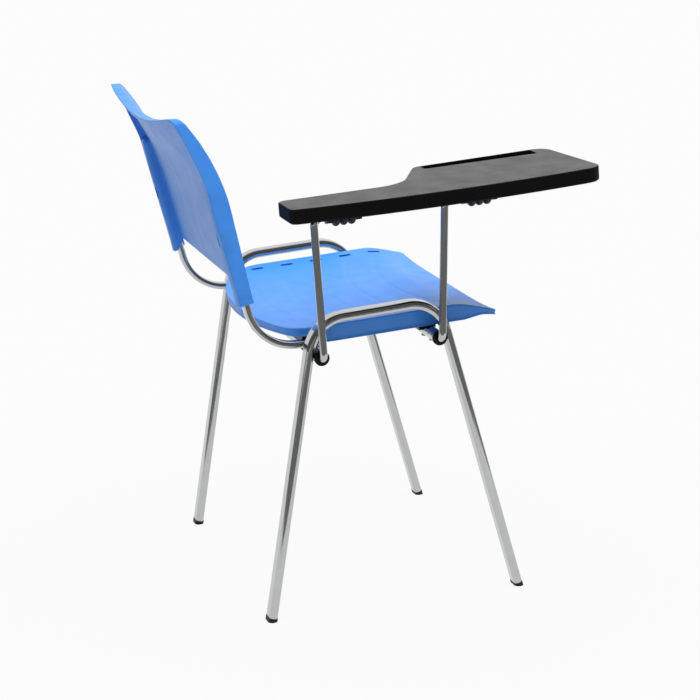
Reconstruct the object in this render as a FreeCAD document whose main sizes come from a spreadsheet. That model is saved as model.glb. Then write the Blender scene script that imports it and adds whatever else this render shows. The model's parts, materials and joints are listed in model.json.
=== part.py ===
import FreeCAD, Part
import math
import os

import Sketcher
from FreeCAD import Placement, Rotation, Vector

# Stackable chair with a writing tablet on the sitter's right. The sitter faces -Y, and +X is the sitter's
# left. Everything is drawn about the chair's middle plane and moved at the end, so that the origin lies on
# the floor under the middle of the whole chair's box.

# Driving sizes, in millimetres and degrees
SIZES = {
    # Flat-oval frame tube
    "tube_width": 28.0,
    "tube_depth": 14.0,
    "tube_wall": 1.5,
    # Side frames: front leg, rail and rear leg in one bent tube
    "frame_half_width": 246.5,
    "foot_front_reach": 208.0,
    "foot_rear_reach": 208.0,
    "front_leg_rake": 14.5,
    "rear_leg_rake": 10.3,
    "rail_height": 485.8,
    "rail_tilt": 3.4,
    "frame_bend_radius": 60.0,
    # Gaps: welded seams, pressed or slipped fits, turning fits, screws in their holes
    "weld_gap": 0.15,
    "slip_gap": 0.1,
    "running_gap": 0.05,
    "screw_gap": 0.15,
    # Foot caps
    "foot_sole": 6.0,
    "foot_lip": 0.6,
    "foot_stem": 22.0,
    # Cross tubes, at one distance below the rails
    "cross_tube_diameter": 20.0,
    "cross_tube_wall": 1.5,
    "cross_tube_drop": 57.5,
    "plug_stem": 14.0,
    "plug_head": 2.5,
    # Back uprights
    "upright_tube_width": 22.0,
    "upright_tube_depth": 11.0,
    "upright_side_gap": 4.0,
    "upright_cope": 1.0,
    "upright_run_end": 8.0,
    "upright_knee_reach": 202.0,
    "upright_bend_radius": 75.0,
    "upright_lean": 13.4,
    "upright_engagement": 167.0,
    # Back shell
    "back_lift": 73.5,
    "back_height": 290.0,
    "back_panel_lift": 20.0,
    "back_front_lean": 11.0,
    "back_front_straight": 145.0,
    "back_front_radius": 330.0,
    "back_rear_straight": 179.0,
    "back_rear_radius": 336.0,
    "back_panel_wall": 4.0,
    "back_rim": 8.0,
    "back_rib_height": 4.0,
    "back_rib_depth": 10.0,
    "back_dip": 23.0,
    "back_bow": 25.0,
    "back_corner_radius": 14.0,
    "back_top_inset": 8.0,
    "sleeve_wall": 3.0,
    "sleeve_front_wall": 2.0,
    "sleeve_rear_wall": 4.4,
    "sleeve_gap": 0.2,
    "sleeve_closed_height": 195.5,
    "latch_slot_height": 100.0,
    "latch_slot_length": 20.0,
    "latch_slot_width": 10.0,
    # Seat shell
    "seat_side_gap": 3.0,
    "seat_drop": 16.1,
    "seat_tilt": 2.9,
    "seat_rear_reach": 186.0,
    "seat_front_reach": 186.0,
    "seat_rear_radius": 537.0,
    "seat_corner_radius": 75.0,
    "seat_front_corner_radius": 8.0,
    "seat_wall": 3.5,
    "seat_dish": 16.0,
    "seat_dish_ends": 6.5,
    "seat_waterfall_start": 108.0,
    "seat_waterfall_radius": 107.0,
    "seat_waterfall_slope": 17.5,
    "skirt_depth": 29.0,
    "rear_skirt_depth": 17.0,
    "rear_skirt_fall": 6.0,
    "skirt_rear_end": 98.0,
    "skirt_front_end": 132.0,
    "front_lip": 9.5,
    "seat_slot_pitch": 53.3,
    "seat_slot_first": 87.0,
    "seat_slot_length": 22.0,
    "seat_slot_width": 5.0,
    "seat_slot_inset": 16.5,
    # Saddles between the cross tubes and the seat, and their screws
    "saddle_width": 30.0,
    "saddle_length": 28.0,
    "saddle_height": 14.0,
    "saddle_side_gap": 1.5,
    "seat_screw_diameter": 5.0,
    "seat_screw_grip": 6.5,
    "seat_boss_diameter": 24.0,
    "screw_head_height": 3.0,
    # Tablet posts, bushes and set screws
    "post_diameter": 12.0,
    "post_lean": 2.2,
    "post_foot_radius": 11.0,
    "post_head_radius": 12.0,
    "post_insert": 62.0,
    "bush_flange": 3.5,
    "bush_flange_diameter": 24.0,
    "bush_sleeve": 50.0,
    "set_screw_diameter": 6.0,
    "set_screw_length": 8.0,
    "set_screw_inset": 12.0,
    # Hinge
    "hinge_height": 648.1,
    "tablet_tilt": 2.74,
    "hinge_drop": -1.0,
    "hinge_length": 56.0,
    "hinge_side_offset": 1.2,
    "rear_hinge_reach": 46.0,
    "front_hinge_reach": 55.0,
    "stub_tail": 4.0,
    "clamp_flange": 3.5,
    "clamp_wall": 4.0,
    "clamp_rib_radius": 5.4,
    "clamp_rib_pitch": 12.4,
    "hinge_screw_diameter": 4.0,
    "hinge_screw_grip": 7.0,
    "hinge_screw_head": 6.4,
    "hinge_head_gap": 0.6,
    "hinge_screw_pitch": 46.0,
    "stop_pin_diameter": 4.0,
    "stop_pin_reach": 10.0,
    "stop_pin_angle": 158.0,
    "stop_pocket_gap": 0.4,
    "stop_pocket_start": 58.0,
    # Tablet
    "tablet_overhang": 39.2,
    "tablet_outer_radius": 1784.0,
    "tablet_crown_reach": 95.0,
    "tablet_rear_reach": 163.0,
    "tablet_front_reach": 346.0,
    "tablet_arm_width": 96.6,
    "tablet_full_width": 223.6,
    "tablet_shoulder_reach": 39.7,
    "tablet_shoulder_slope": 26.2,
    "tablet_inner_flare": 2.9,
    "tablet_front_slant": 4.6,
    "tablet_rim_height": 23.5,
    "tablet_rim": 5.0,
    "tablet_plate": 4.0,
    "tablet_corner_radius": 13.0,
    "tablet_near_radius": 29.0,
    "tablet_front_radius": 26.0,
    "tablet_hollow_radius": 64.0,
    "tablet_shoulder_radius": 17.5,
    "tablet_top_edge_radius": 2.5,
    "tablet_low_edge_radius": 4.5,
    "rib_thickness": 3.0,
    "rib_height": 10.0,
    "rib_pitch": 58.0,
    "hinge_pad": 6.0,
    "groove_depth": 7.0,
    "groove_floor": 3.0,
    "groove_inset": 182.7,
    "groove_edge": 5.0,
    "groove_rear_reach": 107.0,
    "groove_front_reach": 300.0,
    "groove_corner_radius": 4.0,
}

SIDES = (("right", -1), ("left", 1))
ENDS = ("rear", "front")
AXIS_X = Vector(1, 0, 0)
AXIS_Y = Vector(0, 1, 0)
AXIS_Z = Vector(0, 0, 1)
# A cutting tool runs this far past what it cuts
PAST = 40.0

doc = FreeCAD.newDocument("tablet_arm_chair")
sheet = doc.addObject("Spreadsheet::Sheet", "Sizes")
for row, (alias, number) in enumerate(SIZES.items(), start=1):
    sheet.set(f"A{row}", alias)
    sheet.set(f"B{row}", str(number))
    sheet.setAlias(f"B{row}", alias)
doc.recompute()

nodes = []


def size(alias):
    """A driving size as a number."""
    return float(sheet.get(alias))


def worked_out(expression):
    """What an expression over the driving sizes comes to."""
    return float(sheet.evalExpression(expression))


def tangent(alias):
    """The tangent of a driving angle."""
    return math.tan(math.radians(size(alias)))


def node(name, piece):
    """Name a finished piece of the chair."""
    piece.Label = name
    nodes.append(piece)
    return piece


# Primitives, joins and cuts

def facing(direction, across):
    """A turn that takes Z to direction and X to across."""
    return Rotation(across, Vector(), direction, "ZXY")


def cylinder(name, radius, height, base, direction=AXIS_Z, across=None, angle=None):
    """A cylinder bound to the sheet, standing on base along direction."""
    solid = doc.addObject("Part::Cylinder", name)
    solid.setExpression("Radius", radius)
    solid.setExpression("Height", height)
    if angle:
        solid.setExpression("Angle", angle)
    turn = facing(direction, across) if across else Rotation(AXIS_Z, direction)
    solid.Placement = Placement(base, turn)
    return solid


def box(name, length, width, height, corner, turn=Rotation()):
    """A box bound to the sheet, with its lowest corner at corner."""
    solid = doc.addObject("Part::Box", name)
    solid.setExpression("Length", length)
    solid.setExpression("Width", width)
    solid.setExpression("Height", height)
    solid.Placement = Placement(corner, turn)
    return solid


def fuse(name, pieces):
    """Several solids joined in one."""
    joined = doc.addObject("Part::MultiFuse", name)
    joined.Shapes = pieces
    return joined


def cut(name, base, tools):
    """A solid with the tools taken out of it."""
    result = doc.addObject("Part::Cut", name)
    result.Base = base
    result.Tool = tools[0] if len(tools) == 1 else fuse(name + "_tools", tools)
    return result


def group(name, pieces):
    """Separate solids kept as one piece."""
    compound = doc.addObject("Part::Compound", name)
    compound.Links = pieces
    return compound


def solid_feature(name, shape):
    """A shape worked out below, as an object of the document."""
    feature = doc.addObject("Part::Feature", name)
    feature.Shape = shape
    return feature


# Sections and paths

def oval_section(name, width, depth, placement):
    """Flat-sided oval, width along its X and depth between the flats."""
    sketch = doc.addObject("Sketcher::SketchObject", name)
    radius = worked_out(depth) / 2
    reach = worked_out(width) / 2 - radius
    right_arc = Part.Circle(Vector(reach, 0, 0), AXIS_Z, radius)
    left_arc = Part.Circle(Vector(-reach, 0, 0), AXIS_Z, radius)
    sketch.addGeometry(Part.LineSegment(Vector(-reach, -radius, 0), Vector(reach, -radius, 0)))
    sketch.addGeometry(Part.ArcOfCircle(right_arc, -math.pi / 2, math.pi / 2))
    sketch.addGeometry(Part.LineSegment(Vector(reach, radius, 0), Vector(-reach, radius, 0)))
    sketch.addGeometry(Part.ArcOfCircle(left_arc, math.pi / 2, 3 * math.pi / 2))
    for piece in range(4):
        sketch.addConstraint(Sketcher.Constraint("Tangent", piece, 2, (piece + 1) % 4, 1))
    sketch.addConstraint(Sketcher.Constraint("Horizontal", 0))
    sketch.addConstraint(Sketcher.Constraint("Horizontal", 2))
    sketch.addConstraint(Sketcher.Constraint("Symmetric", 1, 3, 3, 3, -1, 1))
    round_end = sketch.addConstraint(Sketcher.Constraint("Radius", 1, radius))
    spread = sketch.addConstraint(Sketcher.Constraint("DistanceX", 3, 3, 1, 3, 2 * reach))
    sketch.setExpression(f"Constraints[{round_end}]", f"({depth}) / 2")
    sketch.setExpression(f"Constraints[{spread}]", f"({width}) - ({depth})")
    sketch.Placement = placement
    return sketch


def round_section(name, diameter, placement):
    """A circle about the section's own origin."""
    sketch = doc.addObject("Sketcher::SketchObject", name)
    radius = worked_out(diameter) / 2
    sketch.addGeometry(Part.Circle(Vector(), AXIS_Z, radius))
    sketch.addConstraint(Sketcher.Constraint("Coincident", 0, 3, -1, 1))
    edge = sketch.addConstraint(Sketcher.Constraint("Radius", 0, radius))
    sketch.setExpression(f"Constraints[{edge}]", f"({diameter}) / 2")
    sketch.Placement = placement
    return sketch


def rounded_edges(corners, radii, closed=False):
    """Straight runs between corners, joined by tangent arcs of the given radii."""
    count = len(corners)
    edges = []
    runs = []
    for index, corner in enumerate(corners):
        if not closed and index in (0, count - 1):
            runs.append((corner, corner))
            continue
        to_last = (corners[index - 1] - corner).normalize()
        to_next = (corners[(index + 1) % count] - corner).normalize()
        half_opening = to_last.getAngle(to_next) / 2
        reach = radii[index] / math.tan(half_opening)
        bisector = (to_last + to_next).normalize()
        middle = corner + bisector * (radii[index] / math.sin(half_opening) - radii[index])
        first = corner + to_last * reach
        last = corner + to_next * reach
        runs.append((first, last))
        edges.append((index, Part.Arc(first, middle, last)))
    arcs = dict(edges)
    chain = []
    for index in range(count if closed else count - 1):
        if index in arcs:
            chain.append(arcs[index])
        chain.append(Part.LineSegment(runs[index][1], runs[(index + 1) % count][0]))
    return chain


def path(name, corners, radius_by_corner):
    """A bent line that a tube follows."""
    curves = rounded_edges(corners, [0.0] + radius_by_corner + [0.0])
    return solid_feature(name, Part.Wire([curve.toShape() for curve in curves]))


def swept(name, section, spine):
    """A solid drawn along a bent line."""
    sweep = doc.addObject("Part::Sweep", name)
    sweep.Sections = [section]
    sweep.Spine = (spine, [f"Edge{index + 1}" for index in range(len(spine.Shape.Edges))])
    sweep.Solid = True
    sweep.Frenet = False
    return sweep


def extruded(name, section, direction, start, length):
    """A section drawn straight along direction, from start before it to length past it."""
    block = doc.addObject("Part::Extrusion", name)
    block.Base = section
    block.DirMode = "Custom"
    block.Dir = direction
    block.Solid = True
    block.setExpression("LengthFwd", length)
    block.setExpression("LengthRev", start)
    return block


def prism(points_or_curves, direction):
    """A solid from a closed outline, drawn along direction."""
    wire = Part.Wire([curve.toShape() for curve in points_or_curves])
    return Part.Face(wire).extrude(direction)


def polygon(points):
    """Straight sides through the points, closed."""
    return [Part.LineSegment(start, end) for start, end in zip(points, points[1:] + points[:1])]


# Where the frame's tubes lie, in the side view

def rail_z(y):
    """Height of the rail's middle line."""
    return size("rail_height") - y * tangent("rail_tilt")


def leg_y(end, z):
    """Where a leg's middle line is at a height."""
    if end == "rear":
        return size("foot_rear_reach") - z * tangent("rear_leg_rake")
    return -size("foot_front_reach") + z * tangent("front_leg_rake")


def leg_direction(end):
    """The way up along a leg."""
    return Vector(0, leg_y(end, 1.0) - leg_y(end, 0.0), 1.0).normalize()


def frame_corner(end):
    """Where a leg's middle line meets the rail's."""
    foot = leg_y(end, 0.0)
    slope = leg_y(end, 1.0) - foot
    z = rail_z(foot) / (1 + tangent("rail_tilt") * slope)
    return leg_y(end, z), z


def cross_tube_place(end):
    """Middle line of a cross tube: below the rail, against the inner face of the leg."""
    inward = -1 if end == "rear" else 1
    rake = math.radians(size(f"{end}_leg_rake"))
    reach = size("tube_depth") / 2 + size("cross_tube_diameter") / 2 + size("weld_gap")
    y = leg_y(end, size("rail_height") - size("cross_tube_drop"))
    for _ in range(8):
        z = rail_z(y) - size("cross_tube_drop")
        y = leg_y(end, z) + inward * reach / math.cos(rake)
    return y, z


FRAME_OUT = size("frame_half_width") + size("tube_width") / 2
UPRIGHT_OUT = size("frame_half_width") - size("tube_width") / 2 - size("upright_side_gap")
UPRIGHT_X = UPRIGHT_OUT - size("upright_tube_width") / 2
CROSS = {end: cross_tube_place(end) for end in ENDS}
RUN_RISE = size("cross_tube_diameter") / 2 + size("upright_tube_depth") / 2 - size("upright_cope")
RUN_Z = CROSS["rear"][1] + RUN_RISE
BACK_BOTTOM = RUN_Z + size("back_lift")
UPRIGHT_TOP = BACK_BOTTOM + size("upright_engagement")
FRAME_OVAL = ("Sizes.tube_width", "Sizes.tube_depth")
UPRIGHT_OVAL = ("Sizes.upright_tube_width", "Sizes.upright_tube_depth")


def upright_y(z):
    """Middle line of an upright, above its bend."""
    return size("upright_knee_reach") + (z - RUN_Z) * tangent("upright_lean")


def grown(oval, by):
    """An oval's width and depth with the same amount added all round."""
    return tuple(f"{measure} + 2 * ({by})" for measure in oval)


def oval_tube(name, oval, corners, bend_radii):
    """Flat-oval tube along a bent line, its width across the chair."""
    spine = path(name + "_line", corners, bend_radii)
    start = Placement(corners[0], facing((corners[1] - corners[0]).normalize(), AXIS_X))
    outside = swept(name + "_outside", oval_section(name + "_rim", *oval, start), spine)
    bore = oval_section(name + "_bore", *grown(oval, "-Sizes.tube_wall"), start)
    return cut(name + "_tube", outside, [swept(name + "_inside", bore, spine)])


# Frame

def side_frame(side, sign):
    """One inverted U: rear leg, rail and front leg."""
    x = sign * size("frame_half_width")
    corners = []
    for end in ENDS:
        y, z = frame_corner(end)
        foot = Vector(x, leg_y(end, 0.0), 0) + leg_direction(end) * size("foot_sole")
        corners.append((foot, Vector(x, y, z)))
    (rear_foot, rear_bend), (front_foot, front_bend) = corners
    bends = [size("frame_bend_radius")] * 2
    route = [rear_foot, rear_bend, front_bend, front_foot]
    node(f"side_frame_{side}", oval_tube(f"side_frame_{side}", FRAME_OVAL, route, bends))


def back_upright(side, sign):
    """Level run notched over the rear cross tube, one bend, then up into the back's sleeve."""
    x = sign * UPRIGHT_X
    y, z = CROSS["rear"]
    corners = [
        Vector(x, y - size("upright_run_end"), RUN_Z),
        Vector(x, size("upright_knee_reach"), RUN_Z),
        Vector(x, upright_y(UPRIGHT_TOP), UPRIGHT_TOP),
    ]
    tube = oval_tube(f"back_upright_{side}", UPRIGHT_OVAL, corners, [size("upright_bend_radius")])
    seat_on_tube = cylinder(
        f"back_upright_{side}_cope",
        "Sizes.cross_tube_diameter / 2 + Sizes.weld_gap",
        "2 * Sizes.upright_tube_width",
        Vector(x - size("upright_tube_width"), y, z),
        AXIS_X,
    )
    node(f"back_upright_{side}", cut(f"back_upright_{side}_coped", tube, [seat_on_tube]))


def upright_plug(side, sign):
    """Oval plug in the top end of an upright."""
    name = f"upright_plug_{side}"
    up = Vector(0, tangent("upright_lean"), 1).normalize()
    top = Vector(sign * UPRIGHT_X, upright_y(UPRIGHT_TOP), UPRIGHT_TOP)
    place = Placement(top, facing(up, AXIS_X))
    slim = grown(UPRIGHT_OVAL, "-Sizes.tube_wall - Sizes.slip_gap")
    stem_section = oval_section(name + "_stem", *slim, place)
    head_section = oval_section(name + "_head", *UPRIGHT_OVAL, place)
    stem = extruded(name + "_stem_body", stem_section, up, "Sizes.plug_stem", "0")
    head = extruded(name + "_head_body", head_section, up, "0", "Sizes.plug_head")
    node(name, fuse(name + "_whole", [stem, head]))


def foot_cap(end, side, sign):
    """Plug in a leg's end: a stem inside the tube and a sole, flat on the floor."""
    name = f"foot_cap_{end}_{side}"
    up = leg_direction(end)
    floor_point = Vector(sign * size("frame_half_width"), leg_y(end, 0.0), 0)
    place = Placement(floor_point, facing(up, AXIS_X))
    rim = oval_section(name + "_rim", *grown(FRAME_OVAL, "Sizes.foot_lip"), place)
    sole = extruded(name + "_sole", rim, up, "Sizes.tube_depth", "Sizes.foot_sole")
    stem_oval = grown(FRAME_OVAL, "-Sizes.tube_wall - Sizes.slip_gap")
    stem_section = oval_section(name + "_stem_section", *stem_oval, place)
    stem = extruded(name + "_stem", stem_section, up, "0", "Sizes.foot_sole + Sizes.foot_stem")
    below = box(
        name + "_floor",
        "4 * Sizes.tube_width",
        "4 * Sizes.tube_width",
        "4 * Sizes.tube_depth",
        floor_point - Vector(2 * size("tube_width"), 2 * size("tube_width"), 4 * size("tube_depth")),
    )
    node(name, cut(name + "_whole", fuse(name + "_solid", [sole, stem]), [below]))


def tube_cross_hole(name, x, end, diameter):
    """An upright hole through the underside of a cross tube."""
    y, z = CROSS[end]
    return cylinder(name, f"({diameter}) / 2", "Sizes.cross_tube_diameter", Vector(x, y, z), -AXIS_Z)


def cross_tube(end):
    """Round tube from side to side, holed for the seat screws and the post's set screw."""
    name = f"{end}_cross_tube"
    y, z = CROSS[end]
    start = Vector(-FRAME_OUT, y, z)
    length = "2 * Sizes.frame_half_width + Sizes.tube_width"
    outside = cylinder(name + "_outside", "Sizes.cross_tube_diameter / 2", length, start, AXIS_X)
    bore = "Sizes.cross_tube_diameter / 2 - Sizes.cross_tube_wall"
    tools = [cylinder(name + "_bore", bore, length, start, AXIS_X)]
    hole = "Sizes.set_screw_diameter + 2 * Sizes.screw_gap"
    tools.append(tube_cross_hole(name + "_set_hole", set_screw_x(), end, hole))
    for side, sign in SIDES:
        tools.append(
            cylinder(
                f"{name}_seat_hole_{side}",
                "Sizes.seat_screw_diameter / 2 + Sizes.screw_gap",
                "2 * Sizes.cross_tube_diameter",
                Vector(sign * saddle_x(), y, z - size("cross_tube_diameter")),
            )
        )
    node(name, cut(name + "_whole", outside, tools))


def cross_tube_plug(end):
    """Plug in the end of a cross tube that takes no post."""
    name = f"cross_tube_plug_{end}"
    y, z = CROSS[end]
    stem_radius = "Sizes.cross_tube_diameter / 2 - Sizes.cross_tube_wall - Sizes.slip_gap"
    face = Vector(FRAME_OUT, y, z)
    stem = cylinder(name + "_stem", stem_radius, "Sizes.plug_stem", face, -AXIS_X)
    head = cylinder(name + "_head", "Sizes.cross_tube_diameter / 2", "Sizes.plug_head", face, AXIS_X)
    node(name, fuse(name + "_whole", [stem, head]))


# Seat

def saddle_x():
    """Middle of a saddle, just inside the upright."""
    return UPRIGHT_X - (size("upright_tube_width") + size("saddle_width")) / 2 - size("saddle_side_gap")


def saddle_top(end):
    """Height of a saddle's flat top."""
    return CROSS[end][1] + size("cross_tube_diameter") / 2 + size("saddle_height")


def seat_saddle(end, side, sign):
    """Block that sits on a cross tube and carries the seat."""
    name = f"seat_saddle_{end}_{side}"
    y, z = CROSS[end]
    x = sign * saddle_x()
    block = box(
        name + "_block",
        "Sizes.saddle_width",
        "Sizes.saddle_length",
        "Sizes.cross_tube_diameter / 2 + Sizes.saddle_height",
        Vector(x - size("saddle_width") / 2, y - size("saddle_length") / 2, z),
    )
    groove = cylinder(
        name + "_groove",
        "Sizes.cross_tube_diameter / 2 + Sizes.slip_gap",
        "2 * Sizes.saddle_width",
        Vector(x - size("saddle_width"), y, z),
        AXIS_X,
    )
    screw_hole = cylinder(
        name + "_hole",
        "Sizes.seat_screw_diameter / 2 + Sizes.screw_gap",
        "2 * Sizes.saddle_height + Sizes.cross_tube_diameter",
        Vector(x, y, z),
    )
    node(name, cut(name + "_whole", block, [groove, screw_hole]))


def seat_screws():
    """Four screws from below the cross tubes into the seat's bosses."""
    screws = []
    for end in ENDS:
        y, z = CROSS[end]
        for side, sign in SIDES:
            name = f"seat_screw_{end}_{side}"
            under_tube = Vector(sign * saddle_x(), y, z - size("cross_tube_diameter") / 2)
            head = cylinder(
                name + "_head", "Sizes.seat_screw_diameter", "Sizes.screw_head_height", under_tube, -AXIS_Z
            )
            shaft = cylinder(
                name + "_shaft",
                "Sizes.seat_screw_diameter / 2",
                "Sizes.cross_tube_diameter + Sizes.saddle_height + Sizes.seat_screw_grip",
                under_tube,
            )
            screws.append(fuse(name, [head, shaft]))
    node("seat_screws", group("seat_screw_set", screws))


SEAT_HALF = size("frame_half_width") - size("tube_width") / 2 - size("seat_side_gap")
SEAT_PLACE = Placement(
    Vector(0, 0, size("rail_height") - size("seat_drop")), Rotation(AXIS_X, -size("seat_tilt"))
)
DISH_POWER = 3
SEAT_GRID = 15


def seat_fall(y):
    """How far the front of the seat has rolled down."""
    reach = max(0.0, -size("seat_waterfall_start") - y)
    radius = size("seat_waterfall_radius")
    slope = math.radians(size("seat_waterfall_slope"))
    bent = min(reach, radius * math.sin(slope))
    return radius - math.sqrt(radius**2 - bent**2) + (reach - bent) * math.tan(slope)


def seat_top(x, y):
    """Height of the seat's upper face above the level of its side edges."""
    length = size("seat_rear_reach") + size("seat_front_reach")
    middle = (size("seat_rear_reach") - size("seat_front_reach")) / 2
    along = 1 - ((y - middle) / (length / 2)) ** 2
    dish = size("seat_dish_ends") + (size("seat_dish") - size("seat_dish_ends")) * along
    return -seat_fall(y) - dish * (1 - abs(x / SEAT_HALF) ** DISH_POWER)


def seat_outline(inset):
    """Straight front and sides, one broad arc behind, rounded corners."""
    half = SEAT_HALF - inset
    front = -size("seat_front_reach") + inset
    broad = size("seat_rear_radius") - inset
    corner = size("seat_corner_radius") - inset
    broad_centre = Vector(0, size("seat_rear_reach") - size("seat_rear_radius"), 0)
    centre_x = half - corner
    centre_y = broad_centre.y + math.sqrt((broad - corner) ** 2 - centre_x**2)
    outward = (Vector(centre_x, centre_y, 0) - broad_centre).normalize()
    diagonal = (AXIS_X + outward).normalize()
    on_side = Vector(half, centre_y, 0)
    on_corner = Vector(centre_x, centre_y, 0) + diagonal * corner
    on_rear = Vector(centre_x, centre_y, 0) + outward * corner
    rear_middle = broad_centre + AXIS_Y * broad
    radius = max(size("seat_front_corner_radius") - inset, inset)
    nose = rounded_edges(
        [
            Vector(-half, centre_y, 0),
            Vector(-half, front, 0),
            Vector(half, front, 0),
            on_side,
        ],
        [0.0, radius, radius, 0.0],
    )

    def flipped(point):
        return Vector(-point.x, point.y, point.z)

    return nose + [
        Part.Arc(on_side, on_corner, on_rear),
        Part.Arc(on_rear, rear_middle, flipped(on_rear)),
        Part.Arc(flipped(on_rear), flipped(on_corner), flipped(on_side)),
    ]


def seat_shell():
    """Dished plate with skirts, slots along both sides and bosses for the screws."""
    half = SEAT_HALF + PAST / 4
    front = -size("seat_front_reach") - PAST / 4
    rear = size("seat_rear_reach") + PAST / 4
    steps = [index / (SEAT_GRID - 1) for index in range(SEAT_GRID)]
    grid = []
    for across in steps:
        x = half * (2 * across - 1)
        lines = [front + (rear - front) * along for along in steps]
        grid.append([Vector(x, y, seat_top(x, y)) for y in lines])
    upper = Part.BSplineSurface()
    upper.interpolate(grid)
    depth = size("skirt_depth") + size("seat_dish") + PAST
    down = Vector(0, 0, -depth)
    outer = upper.toShape().extrude(down)
    inner = outer.translated(Vector(0, 0, -size("seat_wall")))
    rise = Vector(0, 0, 2 * depth)
    outer_prism = prism(seat_outline(0.0), rise).translated(down)
    inner_prism = prism(seat_outline(size("seat_wall")), rise).translated(down)
    shell = outer.common(outer_prism).cut(inner.common(inner_prism))
    lip_z = -seat_fall(front + PAST / 4) - size("front_lip")
    lip_back = lip_z + size("front_lip") * 0.5
    skirt = size("skirt_depth")
    under = [
        (rear, -size("rear_skirt_depth") - size("rear_skirt_fall")),
        (size("skirt_rear_end") + skirt / 4, -size("rear_skirt_depth")),
        (size("skirt_rear_end"), -skirt),
        (-size("skirt_front_end"), -skirt),
        (-size("skirt_front_end") - skirt, lip_back),
        (front, lip_z),
        (front, -depth),
        (rear, -depth),
    ]
    below = prism(polygon([Vector(-half, y, z) for y, z in under]), Vector(2 * half, 0, 0))
    shell = shell.cut(below)
    for side, sign in SIDES:
        x = sign * (SEAT_HALF - size("seat_slot_inset")) - size("seat_slot_width") / 2
        for count in range(5):
            y = size("seat_slot_first") - count * size("seat_slot_pitch") - size("seat_slot_length") / 2
            slot = Part.makeBox(
                size("seat_slot_width"), size("seat_slot_length"), depth, Vector(x, y, -depth / 2)
            )
            shell = shell.cut(slot)
    shell.Placement = SEAT_PLACE
    under_top = outer.copy()
    under_top.Placement = SEAT_PLACE
    for end in ENDS:
        y, z = CROSS[end]
        passage = Part.makeCylinder(
            size("cross_tube_diameter") / 2 + 1.0, 2 * FRAME_OUT, Vector(-FRAME_OUT, y, z), AXIS_X
        )
        shell = shell.cut(passage)
        for side, sign in SIDES:
            foot = Vector(sign * saddle_x(), y, saddle_top(end))
            boss = Part.makeCylinder(size("seat_boss_diameter") / 2, depth, foot).common(under_top)
            pilot_radius = size("seat_screw_diameter") / 2 + size("running_gap")
            pilot = Part.makeCylinder(pilot_radius, size("seat_screw_grip") + size("slip_gap"), foot)
            shell = shell.fuse(boss).cut(pilot)
    node("seat_shell", solid_feature("seat_shell_body", shell))


# Back

SLEEVE_BORE = size("upright_tube_depth") / 2 + size("sleeve_gap")
SLEEVE_FRONT = SLEEVE_BORE + size("sleeve_front_wall")
SLEEVE_REAR = SLEEVE_BORE + size("sleeve_rear_wall")
SLEEVE_REACH = size("upright_tube_width") / 2 + size("sleeve_gap") + size("sleeve_wall")
BACK_HALF = UPRIGHT_X + SLEEVE_REACH
BACK_INNER = UPRIGHT_X - SLEEVE_REACH
BACK_TOP = BACK_BOTTOM + size("back_height")
BACK_GRID = 25
UP_SLEEVE = Vector(0, tangent("upright_lean"), 1).normalize()


def bent_line(offset, lean, straight, radius, z):
    """Side view of a face: a straight run from the bottom, then one arc leaning further back."""
    angle = math.radians(lean)
    start = upright_y(BACK_BOTTOM) + offset / math.cos(math.radians(size("upright_lean")))
    above = z - BACK_BOTTOM
    if above < straight:
        return start + above * math.tan(angle)
    rise = above - straight + radius * math.sin(angle)
    return start + straight * math.tan(angle) + radius * math.cos(angle) - math.sqrt(radius**2 - rise**2)


def back_bow(x, z):
    """How far the back is hollowed between its sides, growing towards the top."""
    across = 1 - (x / (BACK_HALF - size("back_top_inset"))) ** 2
    upward = max(0.0, (z - BACK_BOTTOM) / size("back_height"))
    return size("back_bow") * across * upward**2.4


def behind(offset, lean, straight, radius, half):
    """Everything behind a face of the back."""
    low = BACK_BOTTOM - PAST
    high = BACK_TOP + PAST / 4
    steps = [index / (BACK_GRID - 1) for index in range(BACK_GRID)]
    grid = []
    for across in steps:
        x = half * (2 * across - 1)
        heights = [low + (high - low) * up for up in steps]
        grid.append([Vector(x, bent_line(offset, lean, straight, radius, z) + back_bow(x, z), z) for z in heights])
    face = Part.BSplineSurface()
    face.interpolate(grid)
    return face.toShape().extrude(AXIS_Y * size("back_height"))


def behind_front(depth):
    """Everything further back than depth behind the front face."""
    lean = size("back_front_lean")
    radius = size("back_front_radius") - depth
    return behind(-SLEEVE_FRONT + depth, lean, size("back_front_straight"), radius, FRAME_OUT + depth)


def flipped(point):
    """The same place on the other side of the chair."""
    return Vector(-point.x, point.y, point.z)


def lines_through(points):
    """Straight runs from point to point."""
    return [Part.LineSegment(start, end) for start, end in zip(points, points[1:])]


def back_outline():
    """Front view: two sleeve ends below, sides drawn in at the top, top edge dipped between two horns."""
    taper = UPRIGHT_TOP + size("plug_head") + size("sleeve_wall")
    top_half = BACK_HALF - size("back_top_inset")
    radius = size("back_corner_radius")
    low = BACK_BOTTOM - PAST / 2
    panel = BACK_BOTTOM + size("back_panel_lift")
    horn = Vector(top_half - 2 * radius, 0, BACK_TOP)
    dip = Vector(0, 0, BACK_TOP - size("back_dip"))
    side = [Vector(BACK_HALF, 0, low), Vector(BACK_HALF, 0, taper), Vector(top_half, 0, BACK_TOP), horn]
    rounding = [0.0, 4 * radius, radius, 0.0]
    left = rounded_edges(side, rounding)
    right = rounded_edges([flipped(point) for point in reversed(side)], rounding[::-1])
    feet = [
        Vector(-BACK_HALF, 0, low),
        Vector(-BACK_INNER, 0, low),
        Vector(-BACK_INNER, 0, panel),
        Vector(BACK_INNER, 0, panel),
        Vector(BACK_INNER, 0, low),
        Vector(BACK_HALF, 0, low),
    ]
    return lines_through(feet) + left + [Part.Arc(horn, dip, flipped(horn))] + right


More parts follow.
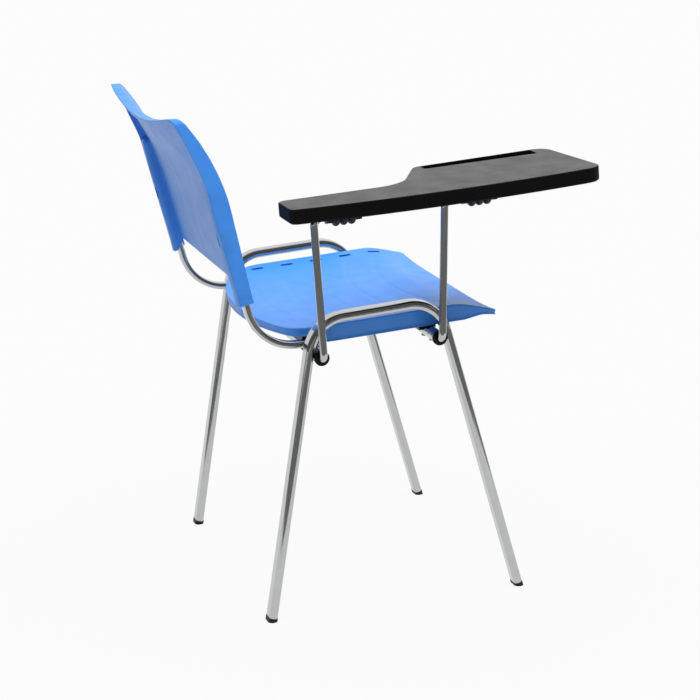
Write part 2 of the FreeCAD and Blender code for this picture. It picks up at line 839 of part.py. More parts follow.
def back_recess(bottom):
    """Front view of the hollow behind the panel, wider above the sleeves' closed part."""
    shoulder = BACK_BOTTOM + size("sleeve_closed_height")
    wide = BACK_HALF - size("back_top_inset") - size("sleeve_wall")
    rim = size("back_rim")
    side = [
        Vector(BACK_INNER, 0, bottom),
        Vector(BACK_INNER, 0, shoulder),
        Vector(wide, 0, shoulder),
        Vector(wide, 0, BACK_TOP - rim),
    ]
    other = [flipped(point) for point in reversed(side)]
    top = Part.Arc(side[-1], Vector(0, 0, BACK_TOP - size("back_dip") - rim), other[0])
    return lines_through(side) + [top] + lines_through(other + side[:1])


def sleeve_bore(sign):
    """The oval hole that an upright goes into."""
    radius = SLEEVE_BORE
    reach = size("upright_tube_width") / 2 + size("sleeve_gap") - radius
    oval = [
        Part.LineSegment(Vector(-reach, -radius, 0), Vector(reach, -radius, 0)),
        Part.Arc(Vector(reach, -radius, 0), Vector(reach + radius, 0, 0), Vector(reach, radius, 0)),
        Part.LineSegment(Vector(reach, radius, 0), Vector(-reach, radius, 0)),
        Part.Arc(Vector(-reach, radius, 0), Vector(-reach - radius, 0, 0), Vector(-reach, -radius, 0)),
    ]
    foot = Vector(sign * UPRIGHT_X, upright_y(BACK_BOTTOM), BACK_BOTTOM) - UP_SLEEVE * PAST
    length = size("upright_engagement") / UP_SLEEVE.z + PAST + size("plug_head") + size("sleeve_gap")
    bore = prism(oval, AXIS_Z * length)
    bore.Placement = Placement(foot, facing(UP_SLEEVE, AXIS_X))
    return bore


def latch_slot(sign):
    """Upright slot in the rear wall of a sleeve."""
    z = BACK_BOTTOM + size("latch_slot_height")
    width = size("latch_slot_width")
    x = sign * (BACK_INNER + size("sleeve_wall") + width / 2) - width / 2
    corner = Vector(x, upright_y(z), z - size("latch_slot_length") / 2)
    return Part.makeBox(width, PAST, size("latch_slot_length"), corner)


def back_shell():
    """Front panel with a dipped top edge, side sleeves for the uprights and a recess behind."""
    through = AXIS_Y * (upright_y(BACK_TOP) + size("back_height"))
    rear_radius = size("back_rear_radius")
    rear = behind(SLEEVE_REAR, size("upright_lean"), size("back_rear_straight"), rear_radius, FRAME_OUT + PAST)
    shell = behind_front(0.0).cut(rear).common(prism(back_outline(), through))
    panel = BACK_BOTTOM + size("back_panel_lift")
    above_rib = prism(back_recess(panel + size("back_rib_height")), through)
    shell = shell.cut(above_rib.common(behind_front(size("back_panel_wall"))))
    at_rib = prism(back_recess(panel - PAST / 4), through)
    shell = shell.cut(at_rib.common(behind_front(size("back_rib_depth"))))
    for side, sign in SIDES:
        shell = shell.cut(sleeve_bore(sign)).cut(latch_slot(sign))
    below = Part.makeBox(2 * FRAME_OUT, size("back_height"), PAST)
    below.translate(Vector(-FRAME_OUT, -size("back_height") / 2, -PAST))
    below.Placement = Placement(
        Vector(0, upright_y(BACK_BOTTOM), BACK_BOTTOM), facing(UP_SLEEVE, AXIS_X)
    ).multiply(below.Placement)
    node("back_shell", solid_feature("back_shell_body", shell.cut(below)))


# Tablet posts

POST_X = -(FRAME_OUT + size("bush_flange") + size("post_foot_radius"))


def set_screw_x():
    """Where the set screws stand, just inside the side frame on the tablet's side."""
    return -size("frame_half_width") + size("tube_width") / 2 + size("set_screw_inset")


def axis_z(y):
    """Height of the tablet's hinge line."""
    return size("hinge_height") - y * tangent("tablet_tilt")


def post_top(end):
    """Where a post's middle line meets the hinge line."""
    y, z = CROSS[end]
    outward = tangent("post_lean") if end == "rear" else -tangent("post_lean")
    slope = tangent("tablet_tilt")
    top = (axis_z(y) + slope * outward * z) / (1 + slope * outward)
    return y + outward * (top - z), top


FORWARD = Vector(0, -1, tangent("tablet_tilt")).normalize()
HINGE_REACH = {end: size(f"{end}_hinge_reach") for end in ENDS}


def hinge_middle(end):
    """Middle of a hinge, on the hinge line."""
    y, z = post_top(end)
    return Vector(POST_X, y, z) + FORWARD * HINGE_REACH[end]


def stop_pin_direction():
    """The way a stop pin stands out of its post, seen along the hinge line."""
    angle = math.radians(size("stop_pin_angle"))
    upward = AXIS_X.cross(-FORWARD)
    return AXIS_X * math.cos(angle) + upward * math.sin(angle)


def tablet_post(end):
    """Rod from inside the cross tube, up beside the seat and forward under the tablet."""
    name = f"tablet_post_{end}"
    y, z = CROSS[end]
    top_y, top_z = post_top(end)
    stub = HINGE_REACH[end] + size("hinge_length") / 2 + size("stub_tail")
    corners = [
        Vector(-FRAME_OUT + size("post_insert"), y, z),
        Vector(POST_X, y, z),
        Vector(POST_X, top_y, top_z),
        Vector(POST_X, top_y, top_z) + FORWARD * stub,
    ]
    spine = path(name + "_line", corners, [size("post_foot_radius"), size("post_head_radius")])
    start = Placement(corners[0], facing(-AXIS_X, AXIS_Y))
    rod = swept(name + "_rod", round_section(name + "_section", "Sizes.post_diameter", start), spine)
    pin_hole = cylinder(
        name + "_pin_hole",
        "Sizes.stop_pin_diameter / 2 + Sizes.running_gap",
        "2 * Sizes.post_diameter",
        hinge_middle(end) - stop_pin_direction() * size("post_diameter"),
        stop_pin_direction(),
    )
    node(name, cut(name + "_whole", rod, [pin_hole]))


def hinge_stop_pins():
    """Cross pins in the two posts."""
    pins = []
    for end in ENDS:
        out = stop_pin_direction()
        start = hinge_middle(end) - out * (size("post_diameter") - size("stop_pin_diameter") / 2) / 2
        length = "(Sizes.post_diameter - Sizes.stop_pin_diameter / 2) / 2 + Sizes.stop_pin_reach"
        pins.append(cylinder(f"stop_pin_{end}", "Sizes.stop_pin_diameter / 2", length, start, out))
    node("hinge_stop_pins", group("stop_pin_pair", pins))


def post_bush(end):
    """Flanged bush in a cross tube's end, round the post."""
    name = f"post_bush_{end}"
    y, z = CROSS[end]
    face = Vector(-FRAME_OUT, y, z)
    flange = cylinder(name + "_flange", "Sizes.bush_flange_diameter / 2", "Sizes.bush_flange", face, -AXIS_X)
    sleeve_radius = "Sizes.cross_tube_diameter / 2 - Sizes.cross_tube_wall - Sizes.slip_gap"
    sleeve = cylinder(name + "_sleeve", sleeve_radius, "Sizes.bush_sleeve", face, AXIS_X)
    bore = cylinder(
        name + "_bore",
        "Sizes.post_diameter / 2 + Sizes.slip_gap",
        "2 * Sizes.bush_sleeve",
        face - AXIS_X * size("bush_sleeve") / 2,
        AXIS_X,
    )
    hole = "Sizes.set_screw_diameter + 2 * Sizes.screw_gap"
    screw_hole = tube_cross_hole(name + "_set_hole", set_screw_x(), end, hole)
    node(name, cut(name + "_whole", fuse(name + "_solid", [flange, sleeve]), [bore, screw_hole]))


def post_set_screws():
    """Screws from below that press on the posts inside the cross tubes."""
    screws = []
    for end in ENDS:
        y, z = CROSS[end]
        tip = Vector(set_screw_x(), y, z - size("post_diameter") / 2 - size("running_gap"))
        radius = "Sizes.set_screw_diameter / 2"
        screws.append(cylinder(f"set_screw_{end}", radius, "Sizes.set_screw_length", tip, -AXIS_Z))
    node("post_set_screws", group("set_screw_pair", screws))


# Hinges, in the tablet's own frame: hinge line along Y, inner edge towards +X, upper face towards +Z

TABLET_PLACE = Placement(Vector(POST_X, 0, size("hinge_height")), Rotation(AXIS_X, -size("tablet_tilt")))
PAD_FACE = "Sizes.hinge_drop + Sizes.tablet_rim_height - Sizes.tablet_plate - Sizes.hinge_pad"
SCREW_SIDE = "(Sizes.post_diameter + Sizes.hinge_screw_head) / 2 + Sizes.clamp_wall + Sizes.hinge_head_gap"
HINGE_WIDTH = f"2 * ({SCREW_SIDE} + Sizes.hinge_head_gap) + Sizes.hinge_screw_head"


def hinge_local(end):
    """Middle of a hinge along the hinge line."""
    return TABLET_PLACE.inverse().multVec(hinge_middle(end)).y


def tablet_placed(piece):
    """Take a piece from the tablet's frame to its place on the chair."""
    piece.Placement = TABLET_PLACE.multiply(piece.Placement)
    return piece


def hinge_screw_places(end):
    """Four screws round a hinge, in the tablet's frame."""
    y = hinge_local(end)
    for across in (-1, 1):
        for along in (-1, 1):
            side = across * worked_out(SCREW_SIDE) + size("hinge_side_offset")
            yield Vector(side, y + along * size("hinge_screw_pitch") / 2, 0)


def hinge_screw_holes(name, end):
    """Clearance holes for a hinge's screws."""
    holes = []
    for count, spot in enumerate(hinge_screw_places(end)):
        holes.append(
            cylinder(
                f"{name}_screw_hole_{count}",
                "Sizes.hinge_screw_diameter / 2 + Sizes.screw_gap",
                f"3 * ({PAD_FACE})",
                spot - AXIS_Z * worked_out(PAD_FACE),
            )
        )
    return holes


def hinge_bore(name, end):
    """The turning fit round a post's stub."""
    return cylinder(
        name + "_bore",
        "Sizes.post_diameter / 2 + Sizes.running_gap",
        "2 * Sizes.hinge_length",
        Vector(0, hinge_local(end) - size("hinge_length"), 0),
        AXIS_Y,
    )


def hinge_corner(end, z):
    """Lowest corner of a hinge's block in plan."""
    x = size("hinge_side_offset") - worked_out(HINGE_WIDTH) / 2
    return Vector(x, hinge_local(end) - size("hinge_length") / 2, z)


def hinge_base(end):
    """Upper half of a hinge, with the pocket that the stop pin turns in."""
    name = f"hinge_base_{end}"
    block = box(name + "_block", HINGE_WIDTH, "Sizes.hinge_length", PAD_FACE, hinge_corner(end, 0))
    turn = Rotation(AXIS_X, 90).multiply(Rotation(AXIS_Z, size("stop_pocket_start")))
    pocket = cylinder(
        name + "_pocket",
        "Sizes.stop_pin_reach + Sizes.stop_pocket_gap",
        "Sizes.stop_pin_diameter + 2 * Sizes.stop_pocket_gap",
        Vector(0, hinge_local(end) + size("stop_pin_diameter") / 2 + size("stop_pocket_gap"), 0),
        angle="180 - Sizes.stop_pocket_start",
    )
    pocket.Placement = Placement(pocket.Placement.Base, turn)
    tools = [hinge_bore(name, end), pocket] + hinge_screw_holes(name, end)
    node(name, tablet_placed(cut(name + "_whole", block, tools)))


def hinge_clamp(end):
    """Lower half of a hinge: a flanged half tube with three round ribs."""
    name = f"hinge_clamp_{end}"
    flange = box(
        name + "_flange",
        HINGE_WIDTH,
        "Sizes.hinge_length",
        "Sizes.clamp_flange",
        hinge_corner(end, -size("clamp_flange")),
    )
    shell = cylinder(
        name + "_shell",
        "Sizes.post_diameter / 2 + Sizes.clamp_wall",
        "Sizes.hinge_length",
        Vector(0, hinge_local(end) - size("hinge_length") / 2, 0),
        AXIS_Y,
    )
    pieces = [flange, shell]
    for count in (-1, 0, 1):
        rib = doc.addObject("Part::Torus", f"{name}_rib_{count + 1}")
        rib.setExpression("Radius1", "Sizes.post_diameter / 2 + Sizes.clamp_wall")
        rib.setExpression("Radius2", "Sizes.clamp_rib_radius")
        middle = Vector(0, hinge_local(end) + count * size("clamp_rib_pitch"), 0)
        rib.Placement = Placement(middle, Rotation(AXIS_X, 90))
        pieces.append(rib)
    upper_half = box(
        name + "_upper",
        f"2 * ({HINGE_WIDTH})",
        "2 * Sizes.hinge_length",
        HINGE_WIDTH,
        hinge_corner(end, 0) - Vector(worked_out(HINGE_WIDTH) / 2, size("hinge_length") / 2, 0),
    )
    tools = [hinge_bore(name, end), upper_half] + hinge_screw_holes(name, end)
    node(name, tablet_placed(cut(name + "_whole", fuse(name + "_solid", pieces), tools)))


def hinge_screws():
    """Screws through clamp and base into the tablet."""
    screws = []
    for end in ENDS:
        for count, spot in enumerate(hinge_screw_places(end)):
            name = f"hinge_screw_{end}_{count}"
            under = spot - AXIS_Z * size("clamp_flange")
            head = cylinder(
                name + "_head", "Sizes.hinge_screw_head / 2", "Sizes.screw_head_height", under, -AXIS_Z
            )
            shaft = cylinder(
                name + "_shaft",
                "Sizes.hinge_screw_diameter / 2",
                f"Sizes.clamp_flange + {PAD_FACE} + Sizes.hinge_screw_grip",
                under,
            )
            screws.append(tablet_placed(fuse(name, [head, shaft])))
    node("hinge_screws", group("hinge_screw_set", screws))


# Tablet

def crossing(point, direction, other, other_direction):
    """Where two lines in plan meet."""
    cross = direction.x * other_direction.y - direction.y * other_direction.x
    apart = other - point
    along = (apart.x * other_direction.y - apart.y * other_direction.x) / cross
    return point + direction * along


def tablet_lines():
    """The tablet's straight sides in plan, in order round it: a point and a direction each. The first two are
    the lines in which the bowed outer side ends."""
    outer = -size("tablet_overhang")
    bow = size("tablet_outer_radius")
    hub = Vector(outer + bow, -size("tablet_crown_reach"), 0)
    bow_ends = []
    for y in (
        size("tablet_near_radius") - size("tablet_front_reach"),
        size("tablet_rear_reach") - size("tablet_corner_radius"),
    ):
        turn = math.asin((y - hub.y) / bow)
        touch = hub + Vector(-math.cos(turn), math.sin(turn), 0) * bow
        bow_ends.append((touch, Vector(math.sin(turn), math.cos(turn), 0)))
    arm = outer + size("tablet_arm_width")
    shoulder = math.radians(size("tablet_shoulder_slope"))
    flare = math.radians(size("tablet_inner_flare"))
    slant = math.radians(size("tablet_front_slant"))
    front_inner = Vector(outer + size("tablet_full_width"), -size("tablet_front_reach"), 0)
    front_outer = Vector(outer, -size("tablet_front_reach"), 0)
    return bow_ends + [
        (Vector(0, size("tablet_rear_reach"), 0), Vector(1, 0, 0)),
        (Vector(arm, 0, 0), Vector(0, -1, 0)),
        (
            Vector(arm, -size("tablet_shoulder_reach"), 0),
            Vector(math.cos(shoulder), -math.sin(shoulder), 0),
        ),
        (front_inner, Vector(math.sin(flare), -math.cos(flare), 0)),
        (front_outer, Vector(-math.cos(slant), -math.sin(slant), 0)),
    ]


def tablet_outline(inset):
    """The tablet's outline in plan, moved in by inset."""
    lines = []
    for point, direction in tablet_lines():
        inward = Vector(direction.y, -direction.x, 0)
        lines.append((point + inward * inset, direction))
    corners = [crossing(*lines[index - 1], *lines[index]) for index in range(len(lines))]
    corner = max(size("tablet_corner_radius") - inset, inset / 2)
    radii = [
        max(size("tablet_near_radius") - inset, inset / 2),
        size("tablet_outer_radius") - inset,
        corner,
        corner,
        size("tablet_hollow_radius") + inset,
        max(size("tablet_shoulder_radius") - inset, inset / 2),
        max(size("tablet_front_radius") - inset, inset / 2),
    ]
    return rounded_edges(corners, radii, closed=True)


def inner_edge_x(y):
    """The tablet's inner edge at a place along it."""
    arm_line, shoulder_line, edge_line = tablet_lines()[3:6]
    across = Vector(1, 0, 0)
    if y > -size("tablet_shoulder_reach"):
        return arm_line[0].x
    on_shoulder = crossing(Vector(0, y, 0), across, *shoulder_line).x
    on_edge = crossing(Vector(0, y, 0), across, *edge_line).x
    return min(on_shoulder, on_edge)


def groove_outline(inset):
    """The pencil groove in plan: one side along the tablet, the other along its inner edge."""
    near = size("groove_inset") - size("tablet_overhang") + inset
    rear = -size("groove_rear_reach") - inset
    front = -size("groove_front_reach") + inset
    edge = size("groove_edge") + inset
    corners = [
        Vector(near, rear, 0),
        Vector(inner_edge_x(rear) - edge, rear, 0),
        Vector(inner_edge_x(front) - edge, front, 0),
        Vector(near, front, 0),
    ]
    radius = size("groove_corner_radius") - min(inset, 0.0)
    rounding = [min(radius, 0.45 * (corners[1].x - corners[0].x))] * 2 + [radius] * 2
    return rounded_edges(corners, rounding, closed=True)


def body_sketch(body, name, height, curves):
    """A sketch of closed outlines, level, at a height bound to the sheet."""
    plane = next(item for item in body.Origin.OriginFeatures if item.Role == "XY_Plane")
    sketch = body.newObject("Sketcher::SketchObject", name)
    sketch.AttachmentSupport = [(plane, "")]
    sketch.MapMode = "FlatFace"
    sketch.setExpression("AttachmentOffset.Base.z", height)
    for curve in curves:
        sketch.addGeometry(curve if isinstance(curve, Part.LineSegment) else plain_arc(curve))
    return sketch


def plain_arc(curve):
    """An arc or circle in the form that sketches keep."""
    return curve.toShape().Curve if isinstance(curve, Part.Circle) else curve.toShape().Edges[0].Curve.trim(
        *curve.toShape().Edges[0].ParameterRange
    )


def rectangle(low_x, low_y, high_x, high_y):
    """Four straight sides in plan."""
    return polygon(
        [
            Vector(low_x, low_y, 0),
            Vector(high_x, low_y, 0),
            Vector(high_x, high_y, 0),
            Vector(low_x, high_y, 0),
        ]
    )


def body_step(body, kind, name, sketch, length, reverse=False):
    """A pad or pocket bound to the sheet, checked to change the body."""
    before = body.Shape.Volume if body.Shape and not body.Shape.isNull() else 0.0
    step = body.newObject(kind, name)
    step.Profile = sketch
    step.setExpression("Length", length)
    step.Reversed = reverse
    doc.recompute()
    if abs(body.Shape.Volume - before) < 1.0:
        raise RuntimeError(f"{name} changes nothing")
    return step


def tablet_ribs():
    """Rib outlines in plan, inside the hollow: one along it, the rest across to the inner rim."""
    thick = size("rib_thickness")
    rim = size("tablet_rim") / 2
    spine_x = size("hinge_side_offset") + worked_out(HINGE_WIDTH) / 2 + size("rib_thickness")
    rear = size("tablet_rear_reach") - rim
    spine_inset = spine_x + thick + size("tablet_overhang")
    front = -size("tablet_front_reach") + rim + spine_inset * tangent("tablet_front_slant")
    outlines = rectangle(spine_x, front, spine_x + thick, rear)
    y = size("tablet_rear_reach") - size("rib_pitch")
    while y > -size("tablet_front_reach") + size("rib_pitch") / 2:
        near_shoulder = -2.2 * size("tablet_shoulder_reach") < y - size("tablet_hollow_radius") / 2 < 0
        if not near_shoulder:
            outlines += rectangle(spine_x + thick / 2, y, inner_edge_x(y) - rim, y + thick)
        y -= size("rib_pitch")
    return outlines


def tablet_top():
    """Moulded tablet: flat top, deep rim, hollow ribbed underside, pencil groove, pads for the hinges."""
    body = doc.addObject("PartDesign::Body", "tablet_top_body")
    low = "Sizes.hinge_drop"
    plate = "Sizes.hinge_drop + Sizes.tablet_rim_height - Sizes.tablet_plate"
    top = "Sizes.hinge_drop + Sizes.tablet_rim_height"
    outline = body_sketch(body, "tablet_outline", low, tablet_outline(0.0))
    slab = body_step(body, "PartDesign::Pad", "tablet_slab", outline, "Sizes.tablet_rim_height")
    low_z = size("hinge_drop")
    for name, height, radius in (
        ("tablet_top_edge", low_z + size("tablet_rim_height"), "Sizes.tablet_top_edge_radius"),
        ("tablet_low_edge", low_z, "min(Sizes.tablet_low_edge_radius; Sizes.tablet_rim - 1)"),
    ):
        rounding = body.newObject("PartDesign::Fillet", name)
        level = [
            f"Edge{count + 1}"
            for count, edge in enumerate(slab.Shape.Edges)
            if abs(edge.BoundBox.ZMin - height) < 0.01 and abs(edge.BoundBox.ZMax - height) < 0.01
        ]
        rounding.Base = (slab, level)
        rounding.setExpression("Radius", radius)
        doc.recompute()
        slab = rounding
    hollow = body_sketch(body, "tablet_hollow", low, tablet_outline(size("tablet_rim")))
    body_step(
        body, "PartDesign::Pocket", "underside", hollow, "Sizes.tablet_rim_height - Sizes.tablet_plate", True
    )
    ribs = body_sketch(body, "rib_lines", plate, [])
    spine_and_ribs = tablet_ribs()
    for side in spine_and_ribs[:4]:
        ribs.addGeometry(side)
    body_step(body, "PartDesign::Pad", "long_rib", ribs, "Sizes.rib_height", True)
    for count in range(4, len(spine_and_ribs), 4):
        cross_rib = body_sketch(body, f"cross_rib_line_{count // 4}", plate, spine_and_ribs[count:count + 4])
        body_step(body, "PartDesign::Pad", f"cross_rib_{count // 4}", cross_rib, "Sizes.rib_height", True)
    tray = body_sketch(body, "tray_outline", plate, groove_outline(-size("groove_floor")))
    body_step(
        body,
        "PartDesign::Pad",
        "tray",
        tray,
        "Sizes.groove_depth + Sizes.groove_floor - Sizes.tablet_plate",
        True,
    )
    groove = body_sketch(body, "groove_outline", top, groove_outline(0.0))
    body_step(body, "PartDesign::Pocket", "pencil_groove", groove, "Sizes.groove_depth")
    pads = []
    pilots = []
    for end in ENDS:
        corner = hinge_corner(end, 0)
        far = corner + Vector(worked_out(HINGE_WIDTH), size("hinge_length"), 0)
        pads += rectangle(corner.x, corner.y, far.x, far.y)
        pilot_radius = size("hinge_screw_diameter") / 2 + size("running_gap")
        pilots += [Part.Circle(spot, AXIS_Z, pilot_radius) for spot in hinge_screw_places(end)]
    pad_sketch = body_sketch(body, "hinge_pads", plate, pads)
    body_step(body, "PartDesign::Pad", "hinge_pad_blocks", pad_sketch, "Sizes.hinge_pad", True)
    pilot_sketch = body_sketch(body, "hinge_pilots", PAD_FACE, pilots)
    body_step(
        body,
        "PartDesign::Pocket",
        "hinge_pilot_holes",
        pilot_sketch,
        "Sizes.hinge_screw_grip + Sizes.slip_gap",
        True,
    )
    node("tablet_top", tablet_placed(body))


def check_document():
    """Stop if any object failed or any piece is empty or broken."""
    doc.recompute()
    for item in doc.Objects:
        if "Invalid" in item.State or "Error" in item.State:
            raise RuntimeError(f"{item.Name} failed: {item.State}")
    for piece in nodes:
        if piece.Shape.isNull() or not piece.Shape.isValid() or not piece.Shape.Solids:
            raise RuntimeError(f"{piece.Label} has no sound shape")


def write_pieces():
    """Write each piece, moved so that the origin is under the middle of the whole chair."""
    whole = FreeCAD.BoundBox()
    for piece in nodes:
        whole.add(piece.Shape.optimalBoundingBox(False))
    shift = Vector(-whole.Center.x, -whole.Center.y, -whole.ZMin)
    os.makedirs("parts", exist_ok=True)
    for piece in nodes:
        piece.Shape.translated(shift).exportStep(f"parts/{piece.Label}.step")
    hinge = Vector(POST_X, 0, size("hinge_height")) + shift
    print("shift", shift)
    print("hinge point", hinge, "hinge line", FORWARD)
    print("box", whole)


for side, sign in SIDES:
    side_frame(side, sign)
    back_upright(side, sign)
    upright_plug(side, sign)
    for end in ENDS:
        foot_cap(end, side, sign)
        seat_saddle(end, side, sign)
for end in ENDS:
    cross_tube(end)
    cross_tube_plug(end)
    tablet_post(end)
    post_bush(end)
    hinge_base(end)
    hinge_clamp(end)
seat_screws()
post_set_screws()
hinge_stop_pins()
hinge_screws()
seat_shell()
back_shell()
tablet_top()
check_document()
write_pieces()
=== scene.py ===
import json
import math

import bmesh
import bpy
import numpy as np
from mathutils import Matrix, Vector
from mathutils.geometry import delaunay_2d_cdt


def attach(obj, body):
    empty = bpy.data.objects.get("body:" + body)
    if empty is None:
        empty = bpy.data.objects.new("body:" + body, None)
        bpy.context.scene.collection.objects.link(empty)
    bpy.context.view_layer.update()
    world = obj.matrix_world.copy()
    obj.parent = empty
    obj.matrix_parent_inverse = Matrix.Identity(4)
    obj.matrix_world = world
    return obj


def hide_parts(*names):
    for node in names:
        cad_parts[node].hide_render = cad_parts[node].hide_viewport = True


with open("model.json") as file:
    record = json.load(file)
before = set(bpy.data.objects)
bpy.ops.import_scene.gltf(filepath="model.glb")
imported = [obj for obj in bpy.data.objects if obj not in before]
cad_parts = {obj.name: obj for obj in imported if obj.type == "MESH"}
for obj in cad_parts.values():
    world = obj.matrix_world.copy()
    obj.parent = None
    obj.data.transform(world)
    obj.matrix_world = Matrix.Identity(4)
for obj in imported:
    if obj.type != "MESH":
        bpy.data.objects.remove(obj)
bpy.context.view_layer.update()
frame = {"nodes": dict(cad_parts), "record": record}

# The chair is drawn in millimetres about its middle plane, sitter facing -Y, and moved here into the frame
MM = 0.001
MIDDLE = Vector((25.6, 6.984, 0.0))


def at(point):
    """A place on the chair, in the frame's metres."""
    return (Vector(point) + MIDDLE) * MM


# Finishes

def linear(hex_colour):
    """An sRGB hex colour as linear red, green, blue and alpha."""
    shares = [int(hex_colour[i:i + 2], 16) / 255 for i in (1, 3, 5)]
    curve = [s / 12.92 if s <= 0.04045 else ((s + 0.055) / 1.055) ** 2.4 for s in shares]
    return (*curve, 1.0)


def per_mm(millimetres):
    """The texture scale at which one grain of a pattern is this long."""
    return 1.0 / (millimetres * MM)


def add(tree, kind, sockets, **settings):
    """A node with its settings, and its sockets set or linked."""
    made = tree.nodes.new(kind)
    for name, value in settings.items():
        setattr(made, name, value)
    for name, value in sockets.items():
        if isinstance(value, bpy.types.NodeSocket):
            tree.links.new(value, made.inputs[name])
        else:
            made.inputs[name].default_value = value
    return made


def blank_material(name):
    """A material with an empty node tree."""
    material = bpy.data.materials.new(name)
    material.use_nodes = True
    material.node_tree.nodes.clear()
    return material, material.node_tree


def blue_polypropylene():
    """Injection-moulded polypropylene with a spark-eroded mould face: a soft satin sheen over a fine, even
    orange-peel grain, and faint flow clouds in the colour."""
    material, tree = blank_material("blue_polypropylene_spark_eroded")
    place = add(tree, "ShaderNodeTexCoord", {}).outputs["Object"]
    clouds = add(tree, "ShaderNodeTexNoise", {"Vector": place, "Scale": per_mm(85), "Detail": 3.0})
    colour = add(tree, "ShaderNodeValToRGB", {"Fac": clouds.outputs["Fac"]})
    for stop, share, blue in zip(colour.color_ramp.elements, (0.3, 0.7), ("#3F93F6", "#469AFC")):
        stop.position = share
        stop.color = linear(blue)
    # The real grain is about 0.3 mm; it is drawn at 1.1 mm so that it shows
    grain = add(tree, "ShaderNodeTexNoise", {"Vector": place, "Scale": per_mm(1.1), "Detail": 2.0})
    rubbed = add(tree, "ShaderNodeTexNoise", {"Vector": place, "Scale": per_mm(30), "Detail": 4.0})
    roughness = add(
        tree,
        "ShaderNodeMapRange",
        {"Value": rubbed.outputs["Fac"], "From Min": 0.3, "From Max": 0.7, "To Min": 0.36, "To Max": 0.46},
    )
    relief = add(
        tree, "ShaderNodeBump", {"Height": grain.outputs["Fac"], "Strength": 0.12, "Distance": 0.1 * MM}
    )
    shader = add(
        tree,
        "ShaderNodeBsdfPrincipled",
        {
            "Base Color": colour.outputs["Color"],
            "Roughness": roughness.outputs["Result"],
            "Normal": relief.outputs["Normal"],
            "IOR": 1.49,
        },
    )
    add(tree, "ShaderNodeOutputMaterial", {"Surface": shader.outputs["BSDF"]})
    return material


def chromed_steel():
    """Bright chromium plate on drawn steel tube: a mirror with a slight long ripple from the drawing and a
    thin haze where it has been wiped."""
    material, tree = blank_material("chromium_plated_drawn_steel")
    place = add(tree, "ShaderNodeTexCoord", {}).outputs["Object"]
    haze = add(tree, "ShaderNodeTexNoise", {"Vector": place, "Scale": per_mm(18), "Detail": 5.0})
    roughness = add(
        tree,
        "ShaderNodeMapRange",
        {"Value": haze.outputs["Fac"], "From Min": 0.35, "From Max": 0.75, "To Min": 0.1, "To Max": 0.13},
    )
    tone = add(tree, "ShaderNodeValToRGB", {"Fac": haze.outputs["Fac"]})
    for stop, share, grey in zip(tone.color_ramp.elements, (0.3, 0.75), ("#BCBDBE", "#B7B8B8")):
        stop.position = share
        stop.color = linear(grey)
    ripple = add(tree, "ShaderNodeTexNoise", {"Vector": place, "Scale": per_mm(28), "Detail": 1.0})
    relief = add(
        tree, "ShaderNodeBump", {"Height": ripple.outputs["Fac"], "Strength": 0.08, "Distance": 0.4 * MM}
    )
    shader = add(
        tree,
        "ShaderNodeBsdfPrincipled",
        {
            "Base Color": tone.outputs["Color"],
            "Metallic": 1.0,
            "Roughness": roughness.outputs["Result"],
            "Normal": relief.outputs["Normal"],
        },
    )
    add(tree, "ShaderNodeOutputMaterial", {"Surface": shader.outputs["BSDF"]})
    return material


def black_moulding(name, colours, grain_mm, relief_mm, smoothest, roughest, side_matt=0.0):
    """Black moulded plastic: a pebbled grain of the given size, in patches of slightly different gloss.
    Faces that don't lie level are duller by side_matt, where only the top is rubbed in use."""
    material, tree = blank_material(name)
    coordinates = add(tree, "ShaderNodeTexCoord", {})
    place = coordinates.outputs["Object"]
    pebbles = add(
        tree,
        "ShaderNodeTexVoronoi",
        {"Vector": place, "Scale": per_mm(grain_mm), "Smoothness": 0.6},
        feature="SMOOTH_F1",
    )
    patches = add(tree, "ShaderNodeTexNoise", {"Vector": place, "Scale": per_mm(45), "Detail": 4.0})
    roughness = add(
        tree,
        "ShaderNodeMapRange",
        {
            "Value": patches.outputs["Fac"],
            "From Min": 0.3,
            "From Max": 0.7,
            "To Min": smoothest,
            "To Max": roughest,
        },
    )
    tone = add(tree, "ShaderNodeValToRGB", {"Fac": patches.outputs["Fac"]})
    for stop, share, black in zip(tone.color_ramp.elements, (0.25, 0.75), colours):
        stop.position = share
        stop.color = linear(black)
    relief = add(
        tree,
        "ShaderNodeBump",
        {"Height": pebbles.outputs["Distance"], "Strength": 0.25, "Distance": relief_mm * MM},
    )
    upward = add(tree, "ShaderNodeSeparateXYZ", {"Vector": coordinates.outputs["Normal"]})
    matt = add(
        tree,
        "ShaderNodeMapRange",
        {
            "Value": upward.outputs["Z"],
            "From Min": 0.8,
            "From Max": 0.97,
            "To Min": side_matt,
            "To Max": 0.0,
        },
    )
    dulled = add(
        tree, "ShaderNodeMath", {0: roughness.outputs["Result"], 1: matt.outputs["Result"]}, operation="ADD"
    )
    shader = add(
        tree,
        "ShaderNodeBsdfPrincipled",
        {
            "Base Color": tone.outputs["Color"],
            "Roughness": dulled.outputs["Value"],
            "Normal": relief.outputs["Normal"],
            "IOR": 1.53,
            "Specular IOR Level": 0.3,
        },
    )
    add(tree, "ShaderNodeOutputMaterial", {"Surface": shader.outputs["BSDF"]})
    return material


